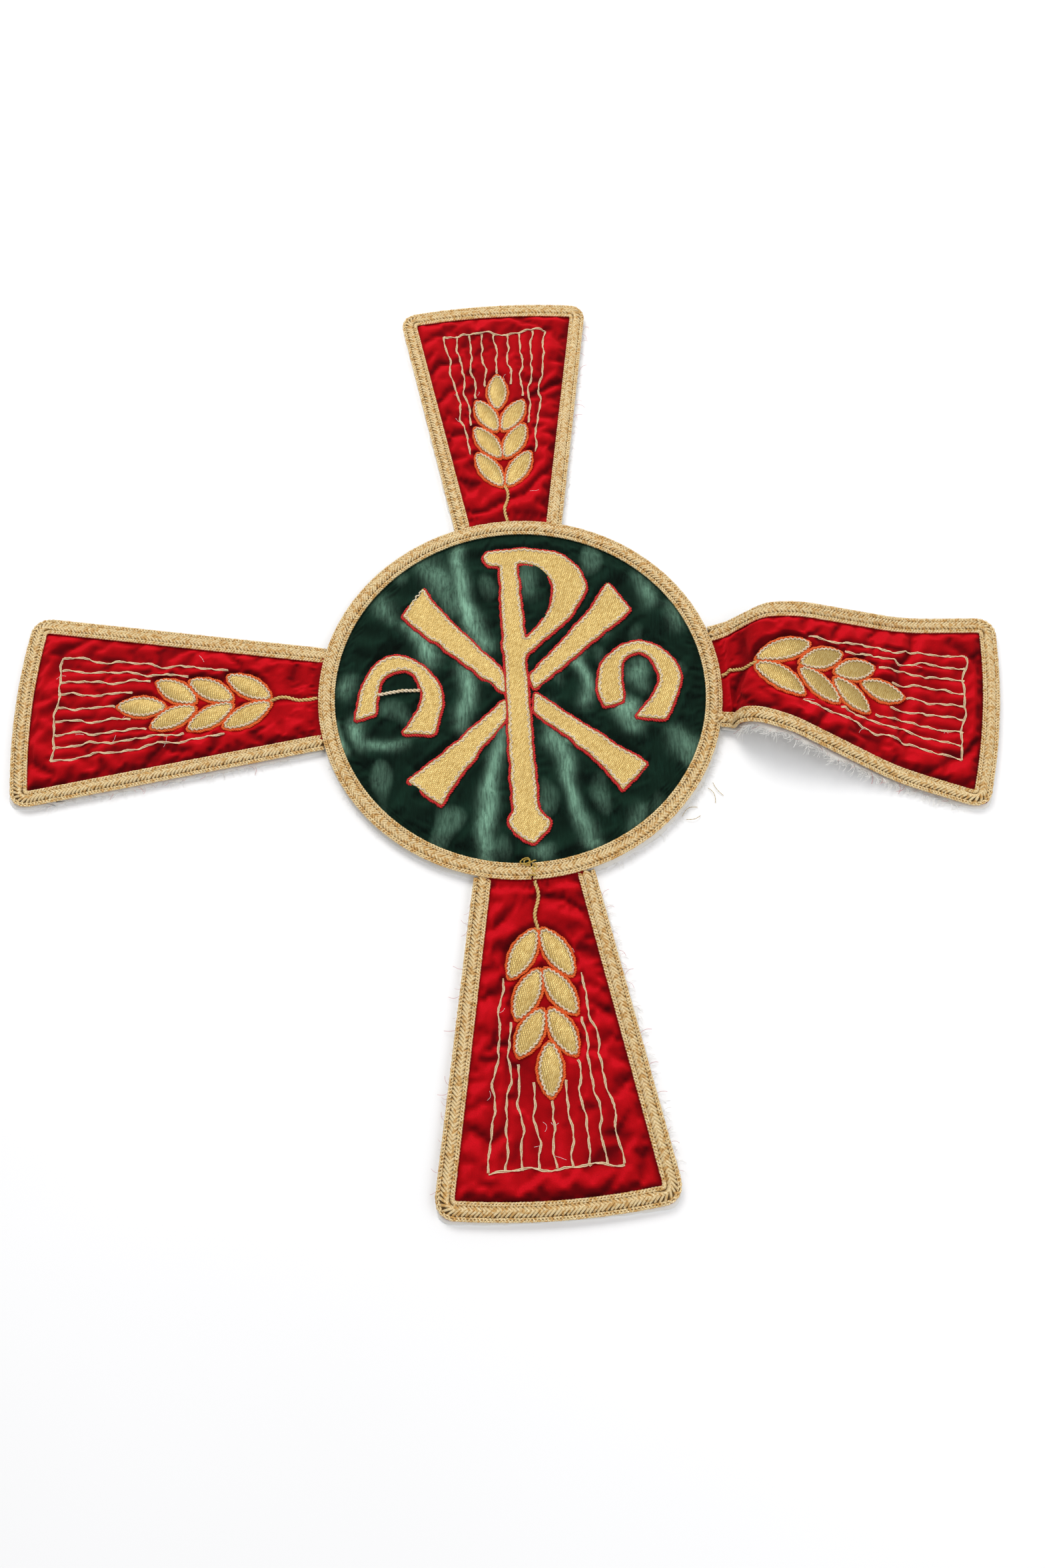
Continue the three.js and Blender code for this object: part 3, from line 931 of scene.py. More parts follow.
# The core tape's dark browns are painted shade: the tape shows only in the gaps between the braid's cords.
GAP_SHADE_TAPE = yarn_material("braid_core_painted_shade", "4a3210", "6e4e1c", "80602a", 0.1, 0.7, 0.75)
EDGE_CORD = yarn_material("pale_gold_cord", "ceac6c", "fff6dc", "ffffff", 0.2, 0.3, 0.8, fleck=0.35)
STEM_CORD = yarn_material("stem_cord", "b88a34", "f6d37e", "fff0be", 0.4, 0.4, 0.7)
AWN_THREAD = yarn_material("awn_thread", "d8b27c", "fce6b8", "fff8e6", 0.25, 0.36, 0.9)
RED_CORD = yarn_material("red_cord", "a8060c", "e0141a", "ee3a34", 0.0, 0.6, 0.9)
ORANGE_CORD = yarn_material("orange_cord", "d0480a", "f46a16", "fa8438", 0.0, 0.6, 0.9)
YELLOW_THREAD = yarn_material("yellow_thread", "a8842c", "e6c04c", "f2d878", 0.05, 0.6, 0.9)
LAME = lame_material("gold_lame", "8a6a2c", "c8a65a", "eed894", 38)
RED_VELVET = red_velvet_material()
GREEN_VELVET = green_velvet_material()
BACKING_CLOTH = cotton_material("white_backing", "faf8f3", "e9e4da", 0.0006)
INTERLINING = cotton_material("interlining", "e0d8c8", "b8ae9a", 0.0009)
WHITE_LINT = lint_material("white_lint", "ffffff", "e8e4da")
RED_LINT = lint_material("red_lint", "d83040", "a00818")


def paint(obj, material):
    obj.data.materials.clear()
    obj.data.materials.append(material)
    return obj


# ---- Riding the bodies ----

BEND_END = 120


def attach(obj, body, stands_for=()):
    """obj rides its body, or is left unattached where it reaches the seam with the roundel."""
    if body == "roundel":
        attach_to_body(obj, body)
    else:
        turn = math.radians(ARMS[body]["heading"])
        outward = np.array([math.cos(turn), math.sin(turn), 0])
        nearest = float((coordinates(obj.data) @ outward).min()) / MM
        if nearest < BEND_END:
            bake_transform(obj)
        else:
            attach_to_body(obj, body)
    if stands_for:
        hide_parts(*stands_for)
    return obj


# ---- The braid's path and the ear of wheat, in an arm's coordinates ----

GRAINS = {
    "low_left": (27, 1.6, 29.5, 29),
    "low_right": (27, -1.6, 29.5, -31),
    "middle_left": (48.5, 1.4, 28.5, 31),
    "middle_right": (48.5, -1.4, 28.5, -28),
    "high_left": (69.5, 2.6, 27, 25),
    "high_right": (69.5, -1.2, 27, -31),
    "tip": (86.5, 1.4, 27.5, -3),
}
GRAIN_HALF_WIDTH = 6.3
AWNS = [
    (52, 20.2),
    (75, 18.6),
    (96.5, 14.8),
    (106, 8.2),
    (115.5, 0),
    (106, -8.2),
    (96.5, -15.2),
    (75, -17.6),
    (52, -20.2),
]
AWN_SPACING = 8.3
AWN_END = 148


def quadratic(a, b, c, count):
    share = np.linspace(0, 1, count)[:, None]
    a, b, c = (np.asarray(p, float) for p in (a, b, c))
    return (1 - share) ** 2 * a + 2 * share * (1 - share) * b + share**2 * c


def braid_path(arm):
    start, half, easing = -3.4, BRAID_WIDTH / 2, 8
    root = half_width(arm, start) - half
    corner = ARM_END_WIDTH / 2 - half
    end = arm["length"] - half + bow(corner)
    slope = (corner - root) / (end - start)
    turn_in = (end - easing, corner - easing * slope)
    left = np.linspace((start, root), turn_in, 60)
    left_corner = quadratic(turn_in, (end, corner), (end, corner - easing), 12)
    across = quadratic((end, corner - easing), (end + 2 * END_BOW, 0), (end, easing - corner), 40)
    half_path = np.vstack([left, left_corner[1:], across[1:20]])
    other = half_path[::-1] * [1, -1]
    return resample(np.vstack([half_path, across[20:21], other]), 1.0)


def grain_point(grain, u, v):
    """A point of a grain: u runs along it and v from its right edge to its left."""
    s, t, length, tilt = grain
    turn = math.radians(tilt)
    reach = v * np.maximum(0.25, GRAIN_HALF_WIDTH * np.sin(np.pi * np.clip(u, 0, 1)) ** 0.75)
    along = u * length
    return (
        s + along * math.cos(turn) - reach * math.sin(turn),
        t + along * math.sin(turn) + reach * math.cos(turn),
    )


def grain_loop(grain, v, start, end, count=40):
    """A closed line round a grain, at v to each side of its middle."""
    u = (1 - np.cos(np.linspace(0, np.pi, count))) / 2 * (end - start) + start
    left = np.stack(grain_point(grain, u, v), axis=-1)
    right = np.stack(grain_point(grain, u[::-1], -v), axis=-1)
    return np.vstack([left, right])


def awn_line(index, seed):
    """One awn, from the joining thread to its grain, wavering as it goes."""
    rng = np.random.default_rng(seed * 31 + index)
    share = np.linspace(0, 1, 60)
    outer = (AWN_END, AWN_SPACING * (4 - index))
    s = lerp(outer[0], AWNS[index][0], share)
    t = lerp(outer[1], AWNS[index][1], share)
    length = AWN_END - AWNS[index][0]
    phases = rng.uniform(0, 2 * math.pi, 3)
    for size, wave, phase in zip((0.9, 0.55, 0.25), (34, 19, 9), phases):
        t = t + size * np.sin(2 * math.pi * share * length / wave + phase) * np.sin(np.pi * share) ** 0.4
    return np.stack([s, t], axis=-1)


# ---- Folds of the velvet ----

# How much longer each velvet is than the place it is stitched into, and how long it settles.
ARM_SLACK = 0.025
ROUNDEL_SLACK = 0.015
SETTLE_FRAMES = 14

# Each crease is (depth, width, [(s, t), ...]); the cloth rises to the sides of it.

CREASES = {
    "top_arm": [
        (1.5, 2.6, [(87, 46), (96, 39), (107, 28)]),
        (1.5, 2.4, [(105, -46), (104, -38), (99, -26)]),
        (1.2, 2.4, [(113, 50), (120, 38), (126, 23)]),
        (1.6, 2.6, [(9, 28), (11, 10), (16, 1), (17, -11), (30, -21), (41, -31)]),
        (1.4, 2.6, [(37, 34), (27, 23), (31, 16)]),
        (1.2, 2.2, [(163, -17), (158, -21), (152, -30)]),
        (1.1, 2.2, [(164, -43), (155, -49)]),
        (1.0, 3.0, [(147, 50), (146, 36)]),
        (1.0, 2.6, [(60, 38), (68, 31)]),
        (1.0, 2.6, [(126, -50), (122, -42), (124, -33)]),
        (1.0, 2.6, [(68, -42), (63, -32)]),
        (0.9, 2.4, [(161, 12), (155, 10)]),
    ],
    "left_arm": [
        (1.4, 2.6, [(133, -50), (139, -43), (150, -34)]),
        (1.5, 2.6, [(114, -48), (106, -38), (109, -27)]),
        (1.3, 2.6, [(78, -41), (89, -31), (92, -24)]),
        (1.5, 2.6, [(53, -37), (51, -27), (46, -20)]),
        (1.4, 2.6, [(15, -29), (12, -19), (14, -8)]),
        (1.4, 2.2, [(168, -8), (151, -7)]),
        (1.3, 2.4, [(167, 26), (157, 34), (148, 41)]),
        (1.1, 2.6, [(121, 47), (119, 39)]),
        (1.1, 3.0, [(95, 38), (86, 30), (70, 29)]),
        (1.1, 2.6, [(28, 31), (36, 22)]),
        (1.0, 2.6, [(60, 35), (56, 27)]),
        (1.0, 2.4, [(130, -14), (124, -6), (128, 6)]),
    ],
    "bottom_arm": [
        (1.9, 3.0, [(9, 2), (12, 14), (19, 25), (25, 29)]),
        (1.5, 2.8, [(24, -30), (26, -22), (20, -14)]),
        (1.4, 2.6, [(110, 48), (109, 41), (116, 34)]),
        (1.3, 2.6, [(70, 42), (74, 33), (70, 26)]),
        (1.3, 2.6, [(128, -45), (134, -35), (131, -28)]),
        (1.1, 2.2, [(168, -26), (155, -28)]),
        (1.0, 2.2, [(167, -5), (158, -6)]),
        (1.0, 2.2, [(168, 11), (159, 9)]),
        (1.1, 2.2, [(167, 22), (156, 25)]),
        (1.2, 2.6, [(160, 44), (145, 44), (139, 47)]),
        (1.2, 2.8, [(60, -38), (66, -30), (60, -22)]),
        (1.1, 2.8, [(95, -44), (99, -34)]),
        (1.1, 2.8, [(45, 34), (41, 24)]),
    ],
    "right_arm": [
        (2.5, 3.4, [(13, 31), (17, 16), (20, 0), (16, -14), (20, -30)]),
        (1.3, 2.6, [(33, 33), (32, 22)]),
        (1.2, 2.4, [(68, 40), (71, 32), (67, 26)]),
        (1.2, 2.6, [(92, 42), (93, 34), (88, 29)]),
        (1.3, 2.6, [(106, 45), (105, 36)]),
        (2.2, 3.2, [(118, 44), (115, 28), (111, 18), (112, 2), (113, -18), (117, -34)]),
        (1.3, 2.8, [(142, 40), (152, 33), (158, 27)]),
        (1.3, 2.8, [(58, -38), (66, -28), (70, -22)]),
        (1.2, 2.8, [(108, -46), (113, -42)]),
        (1.2, 3.0, [(152, -22), (147, -34), (137, -40)]),
        (1.2, 2.6, [(45, -35), (40, -27)]),
    ],
}


def rough_relief(name, arm, s, t):
    """How far the velvet stands above its flat height."""
    seed = sum(map(ord, name))
    s2 = s + 1.6 * waves(s, t, seed, 14)
    t2 = t + 1.6 * waves(s, t, seed + 1, 14)
    height = 1.5 + 0.8 * waves(s2, t2, seed + 2, 24) + 0.22 * waves(s2, t2, seed + 3, 10)
    for depth, width, line in CREASES[name]:
        gap, share = distance_to_line(s2, t2, line)
        ends = np.sin(np.pi * np.clip(share, 0.06, 0.94)) ** 0.6
        valley = np.exp(-((gap / width) ** 1.3))
        shoulder = np.exp(-(((gap - 2.6 * width) / (1.6 * width)) ** 2))
        height = height + ends * depth * (0.75 * shoulder - 1.15 * valley)
    # Puckers where the braid is stitched down.
    border = half_width(arm, s) - BRAID_WIDTH - np.abs(t)
    border = np.minimum(border, outer_end(arm, t, 0) - BRAID_WIDTH - s)
    rate = np.where(np.abs(t) > half_width(arm, s) - 26, s, t)
    pucker = np.sin(rate / 2.1 + 2.2 * waves(s, t, seed + 4, 30)) * np.exp(-np.clip(border, 0, 99) / 7)
    height = np.clip(height, 0, None) + 0.35 * pucker
    # The stitching holds it down at the braid, the seam, the grains, the stem and the awns.
    held = smoothstep(border, -1.5, 4.5) * smoothstep(s, -2, 8)
    for grain in GRAINS.values():
        loop = grain_loop(grain, 1.0, 0, 1, 14)
        gap, _ = distance_to_line(s, t, np.vstack([loop, loop[:1]]))
        turn = math.radians(grain[3])
        along = (s - grain[0]) * math.cos(turn) + (t - grain[1]) * math.sin(turn)
        across = -(s - grain[0]) * math.sin(turn) + (t - grain[1]) * math.cos(turn)
        u = np.clip(along / grain[2], 0, 1)
        inside = (np.abs(across) < GRAIN_HALF_WIDTH * np.sin(np.pi * u) ** 0.75) & (u > 0) & (u < 1)
        held = held * np.where(inside, 0.0, smoothstep(gap, 0.2, 4.5))
    gap, _ = distance_to_line(s, t, [(0, 0), (26, 0)])
    held = held * lerp(0.45, 1.0, smoothstep(gap, 0.5, 4))
    for index in range(len(AWNS)):
        gap, _ = distance_to_line(s, t, [(AWN_END, AWN_SPACING * (4 - index)), AWNS[index]])
        held = held * lerp(0.72, 1.0, smoothstep(gap, 0.3, 3.2))
    return np.clip(height, 0.0, 4.0) * held


def settle(obj, still, slack):
    """Points of the cloth once it has wrinkled. obj is ten times its real size, which the solver
    handles better."""
    group = obj.vertex_groups.new(name="still")
    for index, weight in enumerate(still):
        if weight > 0.01:
            group.add([index], float(weight), "REPLACE")
    modifier = obj.modifiers.new("wrinkle", "CLOTH")
    cloth = modifier.settings
    cloth.quality = 5
    cloth.mass = 0.3
    cloth.tension_stiffness = 18
    cloth.compression_stiffness = 18
    cloth.shear_stiffness = 8
    cloth.bending_stiffness = 1.2
    cloth.vertex_group_mass = "still"
    cloth.pin_stiffness = 1.0
    cloth.shrink_min = -slack
    cloth.effector_weights.gravity = 0.0
    cloth.use_pressure = True
    cloth.uniform_pressure_force = 0.35
    modifier.point_cache.frame_start = 1
    modifier.point_cache.frame_end = SETTLE_FRAMES
    for number in range(1, SETTLE_FRAMES + 1):
        scene.frame_set(number)
    bpy.context.view_layer.update()
    graph = bpy.context.evaluated_depsgraph_get()
    made = bpy.data.meshes.new_from_object(obj.evaluated_get(graph), depsgraph=graph)
    points = coordinates(made)
    bpy.data.meshes.remove(made)
    scene.frame_set(1)
    return points


def wrinkled_grid(name, s, t, relief, held, rows, columns, slack):
    """Heights of a velvet face above its flat height, after it has wrinkled."""
    start = np.stack([s.ravel(), t.ravel(), relief.ravel()], axis=-1)
    cloth = mesh_object(name + "_cloth", start * 10, grid_faces(rows, columns))
    moved = settle(cloth, held.ravel(), slack) / (10 * MM)
    bpy.data.objects.remove(cloth)
    shift = moved - start
    shift[:, :2] = np.clip(shift[:, :2], -1.5, 1.5)
    shift[:, 2] = np.clip(shift[:, 2], -2.5, 2.5)
    moved = start + shift
    moved[:, 2] = np.clip(moved[:, 2], 0, 4.5)
    return moved


def refined(flat, rows, columns):
    """The grid subdivided once, as points of (2 rows + 1) by (2 columns + 1)."""
    fine = flat.reshape(rows + 1, columns + 1, 3)
    for axis in (0, 1):
        fine = np.moveaxis(fine, axis, 0)
        count = len(fine)
        made = np.zeros((2 * count - 1, *fine.shape[1:]))
        made[::2] = fine
        made[1::2] = (fine[1:] + fine[:-1]) / 2
        inner = (9 * (fine[1:-2] + fine[2:-1]) - fine[:-3] - fine[3:]) / 16
        made[3:-3:2] = inner
        fine = np.moveaxis(made, 0, axis)
    return fine


def lit_shares(points, ups, light=(-0.3, 0.95, 0.0), gain=1.0):
    """How much each point of a grid leans to the light, with hollows darker. 0.5 is flat."""
    run = np.gradient(points, axis=0)
    left = np.gradient(points, axis=1)
    normal = np.cross(run, left)
    normal /= np.linalg.norm(normal, axis=-1, keepdims=True) + 1e-12
    normal *= np.sign((normal * ups).sum(-1, keepdims=True) + 1e-12)
    lean = ((normal - ups) * np.array(light)).sum(-1)
    return np.clip(0.56 + gain * lean, 0.02, 1.0)


def seam_shift(arm, points):
    """How far the velvet moves up or down to pass under the roundel's braid."""
    lift = 2.0 if arm["arched"] else 0.0
    radius = np.hypot(points[..., 0], points[..., 1])
    return (4.1 - lift - VELVET_TOP) * (1 - smoothstep(radius, 115.3, 121))


def flat_grid(arm, rows, columns, inset, inner_radius):
    """Grid coordinates s and t over a panel, set in from its edge, from the radius outwards."""
    u, v = np.meshgrid(np.linspace(0, 1, rows + 1), np.linspace(-1, 1, columns + 1), indexing="ij")
    inner = np.sqrt(inner_radius**2 - (v * (ARM_ROOT_WIDTH / 2 - inset)) ** 2) - ROUNDEL_RADIUS
    outer = outer_end(arm, v * (ARM_END_WIDTH / 2 - inset), inset)
    s = inner + (outer - inner) * u
    return s, v * (half_width(arm, s) - inset)


def flat_area(s, t):
    """Area of a flat grid, in square millimetres."""
    ds, dt = np.diff(s, axis=0)[:, :-1], np.diff(t, axis=1)[:-1]
    shear = np.diff(s, axis=1)[:-1] * np.diff(t, axis=0)[:, :-1]
    return float(np.abs(ds * dt - shear).sum())


def drop_onto(tree, s, t, default):
    """Height of the velvet under each point."""
    heights = np.full(len(s), float(default))
    for i, (x, y) in enumerate(zip(s, t)):
        hit = tree.ray_cast(Vector((x, y, 50.0)), Vector((0, 0, -1)))[0]
        if hit is not None:
            heights[i] = hit.z
    return heights


def make_velvet(name, arm):
    """The arm's red face, and its shape as a search tree in the arm's own coordinates."""
    rows, columns = 68, 42
    s, t = flat_grid(arm, rows, columns, VELVET_INSET, ARM_VELVET_START)
    # Cut a little narrower at the seam, so that no corner shows past the end of the braid.
    t = t * lerp(0.9, 1.0, smoothstep(s, -5, 25))
    relief = rough_relief(name, arm, s, t)
    border = np.minimum(half_width(arm, s) - np.abs(t), outer_end(arm, t, 0) - s) - BRAID_WIDTH
    held = 1 - smoothstep(border, 0, 3) * smoothstep(s, 1, 5)
    for index in range(len(AWNS)):
        gap, _ = distance_to_line(s, t, [(AWN_END, AWN_SPACING * (4 - index)), AWNS[index]])
        held = np.maximum(held, 0.5 * (1 - smoothstep(gap, 0.5, 2.5)))
    gap, _ = distance_to_line(s, t, [(27, 0), (113, 0)])
    held = np.maximum(held, 1 - smoothstep(gap, 14, 19))
    flat = wrinkled_grid(name, s, t, relief, held, rows, columns, ARM_SLACK)
    fine = refined(flat, rows, columns)
    s2, t2, h2 = fine[..., 0], fine[..., 1], np.clip(fine[..., 2], 0, 5)
    top, ups = lay(arm, s2, t2, VELVET_TOP + h2)
    top[..., 2] += seam_shift(arm, top)
    base, _ = lay(arm, s2, t2, VELVET_BASE + 0.05 + 0 * h2)
    base[..., 2] += seam_shift(arm, base)
    obj = slab(name + "_velvet_face", top, base, 2 * rows, 2 * columns)
    lit = lit_shares(top, ups)
    hollow = np.clip((h2 - 0.9) * 0.16, -0.14, 0.16)
    lit = np.clip(lit + hollow, 0, 1).ravel()
    store(obj.data, "lit", np.concatenate([lit, lit]))
    paint(obj, RED_VELVET)
    points = [Vector(p) for p in np.stack([s2, t2, VELVET_TOP + h2], axis=-1).reshape(-1, 3)]
    faces = grid_faces(2 * rows, 2 * columns)
    return obj, BVHTree.FromPolygons(points, faces), flat_area(s, t)


def make_backing(name, arm):
    """The white backing: cut a little unevenly, so it shows past the braid in places."""
    rows, columns = 90, 60
    s, t = flat_grid(arm, rows, columns, 0, ROUNDEL_RADIUS + SEAM_GAP)
    u, v = np.meshgrid(np.linspace(0, 1, rows + 1), np.linspace(-1, 1, columns + 1), indexing="ij")
    seed = sum(map(ord, name)) + 40
    ragged = 0.5 + 0.5 * waves(s, t, seed, 7) + 0.35 * waves(s, t, seed + 1, 2.4)
    near_side = {"right_arm": -1, "left_arm": 1, "bottom_arm": 1, "top_arm": -1}[name]
    spread = np.where(np.sign(t) == near_side, 1.3, 0.5)
    out = np.clip(ragged, 0.05, 1.6) * spread
    out = out * smoothstep(s, 2, 12) * (1 - 0.7 * smoothstep(s, 150, 160))
    t = t + np.sign(v) * smoothstep(np.abs(v), 0.9, 1.0) * out
    s = s + smoothstep(u, 0.93, 1.0) * np.clip(ragged, 0, 1.2) * 0.5
    top, _ = lay(arm, s, t, BACKING - 0.05)
    bottom, _ = lay(arm, s, t, 0.1 * np.clip(ragged, 0, 1))
    obj = slab(name + "_backing_cloth", top, bottom, rows, columns)
    return paint(obj, BACKING_CLOTH), flat_area(s, t), (s, t)


def solid_ribbon(name, line, ups, width, height):
    """A flat tape with rounded edges along a line in the row frame."""
    line, ups = np.asarray(line), np.asarray(ups)
    along = np.gradient(line, axis=0)
    along /= np.linalg.norm(along, axis=1, keepdims=True)
    side = np.cross(ups, along)
    side /= np.linalg.norm(side, axis=1, keepdims=True)
    right = [(0.42, 0.0), (0.5, 0.15), (0.5, 0.7), (0.3, 1.0)]
    section = [*right, *((-x, z) for x, z in right[::-1])]
    rings = [line + side * (x * width) + ups * (z * height) for x, z in section]
    points = np.stack(rings, axis=1).reshape(-1, 3)
    count, around = len(line), len(section)
    faces = []
    for i in range(count - 1):
        for j in range(around):
            a, b = i * around + j, i * around + (j + 1) % around
            faces.append((a, a + around, b + around, b)[::-1])
    faces.append(tuple(range(around)))
    faces.append(tuple(range((count - 1) * around, count * around))[::-1])
    return mesh_object(name, points, faces)


def make_braid(name, body, line, ups, stands_for):
    """A length of gimp: its core tape and the cords worked over it."""
    # The core's dark colour paints the shade in the gaps between the cords.
    core = solid_ribbon(name + "_core", line, ups, 8.2, 1.1)
    attach(paint(core, GAP_SHADE_TAPE), body)
    cords = guide(name + "_cords", [(line, ups)])
    grow(cords, GIMP, Material=BRAID)
    return attach(cords, body, [stands_for])


def seam_lifted(arm, points):
    """Trim near the seam moves with the velvet under it."""
    moved = points.copy()
    moved[..., 2] += seam_shift(arm, points) * 0.6
    return moved


def make_grain(name, arm, key):
    grain = GRAINS[key]
    u, v = np.meshgrid(np.linspace(0.004, 0.996, 31), np.linspace(-1, 1, 13), indexing="ij")
    s, t = grain_point(grain, u, np.sin(v * np.pi / 2) * 0.985)
    w = np.sin(v * np.pi / 2)
    swell = np.sin(np.pi * u)
    rounded = np.sqrt(np.clip(1 - np.abs(w) ** 6, 0, 1))
    height = (1.0 + 1.1 * swell * (1 - w * w)) * (0.55 + 0.45 * rounded)
    top, _ = lay(arm, s, t, ARM_TRIM + height)
    bottom, _ = lay(arm, s, t, ARM_TRIM - 0.2)
    node = f"{name}_grain_{key}"
    face = slab(node + "_face", top, bottom, 30, 12)
    attach(paint(face, LAME), name, [node])

    def cord_on(v_at, start, end, moved, height_at, label, tree_inputs):
        loop = grain_loop(grain, v_at, start, end)
        loop = resample(aside(resample(loop, 0.6, True), moved, True), 0.5, True)
        line, ups = lay(arm, loop[:, 0], loop[:, 1], height_at)
        length = line_length(line, True) * MM
        obj = guide(f"{node}_{label}", [(line, ups)], closed=True)
        wave_pitch = length / round(length / tree_inputs.pop("wave_pitch"))
        pitch = length / round(length / tree_inputs.pop("pitch"))
        grow(obj, TWISTED, Pitch=pitch, WavePitch=wave_pitch, **tree_inputs)
        return obj

    edge = cord_on(
        0.84, 0.05, 0.95, 0.0, ARM_TRIM + 1.35, "edge_cord",
        {"pitch": 0.0022, "wave_pitch": 0.0026, "PlyRadius": 0.00034, "Twist": 0.0003,
         "Wave": 0.0004, "Wander": 0.0003, "Seed": float(len(node)), "Material": EDGE_CORD},
    )
    attach(edge, name)
    outline = cord_on(
        1.0, 0.0, 1.0, 0.6, ARM_TRIM + 0.35, "outline_cord",
        {"pitch": 0.0026, "wave_pitch": 0.006, "PlyRadius": 0.00052, "Twist": 0.0004,
         "Wave": 0.00018, "Wander": 0.0006, "Seed": float(len(node) + 3), "Material": ORANGE_CORD},
    )
    attach(outline, name)


def make_arm(name, arm):
    seed = sum(map(ord, name))
    velvet, tree, velvet_area = make_velvet(name, arm)
    attach(velvet, name, [name + "_velvet"])
    backing, backing_area, edges = make_backing(name, arm)
    attach(backing, name, [name + "_backing"])
    path = braid_path(arm)
    line, ups = lay(arm, path[:, 0], path[:, 1], ARM_TRIM)
    line[:, 2] -= 0.5 * (1 - smoothstep(path[:, 0], -3, 2))
    make_braid(name + "_gimp", name, line, ups, name + "_braid")
    for key in GRAINS:
        make_grain(name, arm, key)
    # The stem wanders from the seam to the ear.
    share = np.linspace(0, 1, 50)
    s = lerp(0.5, 27.5, share)
    t = 1.5 * np.sin(2 * math.pi * share) * np.sin(np.pi * share) ** 0.3
    h = drop_onto(tree, s, t, VELVET_TOP) + 0.75
    line, ups = lay(arm, s, t, h)
    stem = guide(name + "_stem_cord", [(seam_lifted(arm, line), ups)])
    grow(stem, TWISTED, Pitch=0.0042, PlyRadius=0.00062, Twist=0.00052, Wander=0.0005, Material=STEM_CORD)
    attach(stem, name, [name + "_stem"])
    # The awns, each a pair of threads, and the pair that joins them.
    lines = []
    for index in range(len(AWNS)):
        awn = awn_line(index, seed)
        h = drop_onto(tree, awn[:, 0], awn[:, 1], VELVET_TOP) + 0.3
        lines.append(lay(arm, awn[:, 0], awn[:, 1], h))
    t = np.linspace(4 * AWN_SPACING, -4 * AWN_SPACING, 80)
    s = AWN_END + 0.9 * np.sin(t / 5.5 + seed) + 0.5 * np.sin(t / 2.6 + 2 * seed)
    h = drop_onto(tree, s, t, VELVET_TOP) + 0.35
    lines.append(lay(arm, s, t, h))
    awns = guide(name + "_awn_threads", lines)
    grow(
        awns, TWISTED, Pitch=0.021, Steps=36, PlyRadius=0.00034, Twist=0.00036,
        Wander=0.0011, Seed=float(seed), Material=AWN_THREAD,
    )
    attach(awns, name, [name + "_awns"])
    make_frays(name, arm, edges, seed)
    make_lint(name, arm, tree, seed)


# Which edges of an arm fray, 1 for its left and -1 for its right, and how much, from 0 to 2.
FRAYED = {
    "right_arm": [(-1, 2)],
    "left_arm": [(1, 1)],
    "bottom_arm": [(1, 1), (-1, 0)],
    "top_arm": [(-1, 0)],
}


def make_frays(name, arm, edges, seed):
    """Fibres that have come out of the backing's cut edge, and a few red ones of the velvet's."""
    s, t = edges
    for side, amount in FRAYED[name]:
        column = -1 if side > 0 else 0
        hand = "left" if side > 0 else "right"
        edge_s, edge_t = s[8:-4, column], t[8:-4, column] - side * 0.5
        white = {
            "Spacing": (0.001, 0.0004, 0.00014)[amount],
            "Length": (0.0022, 0.0045, 0.0062)[amount],
            "Thickness": 0.00009,
            "Seed": seed,
            "Material": WHITE_LINT,
        }
        red = {
            "Spacing": 0.0035,
            "Length": 0.0055,
            "Thickness": 0.00008,
            "Seed": seed + 5,
            "Material": RED_LINT,
        }
        for label, out, height, slot, inputs in (
            ("frayed_edge", 0, 0.75, "white_backing", white),
            ("red_fibres", 0.2, 1.9, "red_velvet", red),
        ):
            line, ups = lay(arm, edge_s, edge_t + side * out, height)
            if side < 0:
                line, ups = line[::-1], ups[::-1]
            fibres = guide(f"{name}_{label}_{hand}", [(line, ups)])
            attach(grow(fibres, FRAY, **inputs), name)


def make_lint(name, arm, tree, seed):
    """White lint caught in the pile."""
    rng = np.random.default_rng(seed)
    lint = []
    for _ in range(9):
        s0, t0 = rng.uniform(15, 158), rng.uniform(-36, 36)
        if abs(t0) > half_width(arm, s0) - 14:
            continue
        angle, length, bend = rng.uniform(0, 2 * math.pi), rng.uniform(2, 6), rng.uniform(-1.5, 1.5)
        run = np.linspace(0, 1, 9)
        s = s0 + run * length * math.cos(angle) - bend * np.sin(np.pi * run) * math.sin(angle)
        t = t0 + run * length * math.sin(angle) + bend * np.sin(np.pi * run) * math.cos(angle)
        h = drop_onto(tree, s, t, VELVET_TOP) + 0.12
        lint.append(lay(arm, s, t, h))
    specks = guide(name + "_lint", lint)
    grow(specks, TWISTED, Pitch=0.004, Steps=6, PlyRadius=0.00005, Twist=0.00003, Material=WHITE_LINT)
    attach(specks, name)


# ---- The roundel ----


def spline(points, divisions=14):
    """Points of a uniform Catmull-Rom spline."""
    points = [np.asarray(p, float) for p in points]
    made = []
    count = len(points) - 1
    for i in range(count):
        p0, p1 = points[max(i - 1, 0)], points[i]
        p2, p3 = points[i + 1], points[min(i + 2, count)]
        v0, v1 = (p2 - p0) / 2, (p3 - p1) / 2
        for w in np.linspace(0, 1, divisions, endpoint=False):
            made.append(
                (2 * p1 - 2 * p2 + v0 + v1) * w**3 + (-3 * p1 + 3 * p2 - 2 * v0 - v1) * w**2 + v0 * w + p1
            )
    return made + [points[-1]]


def outline(*steps):
    """A closed outline from points, ("quad", control, end) and ("spline", points) steps."""
    made = [np.array(steps[0], float)]
    for step in steps[1:]:
        if step[0] == "quad":
            made.extend(quadratic(made[-1], step[1], step[2], 12)[1:])
        elif step[0] == "spline":
            made.extend(spline([made[-1], *step[1]])[1:])
        else:
            made.append(np.array(step, float))
    return np.array(made)


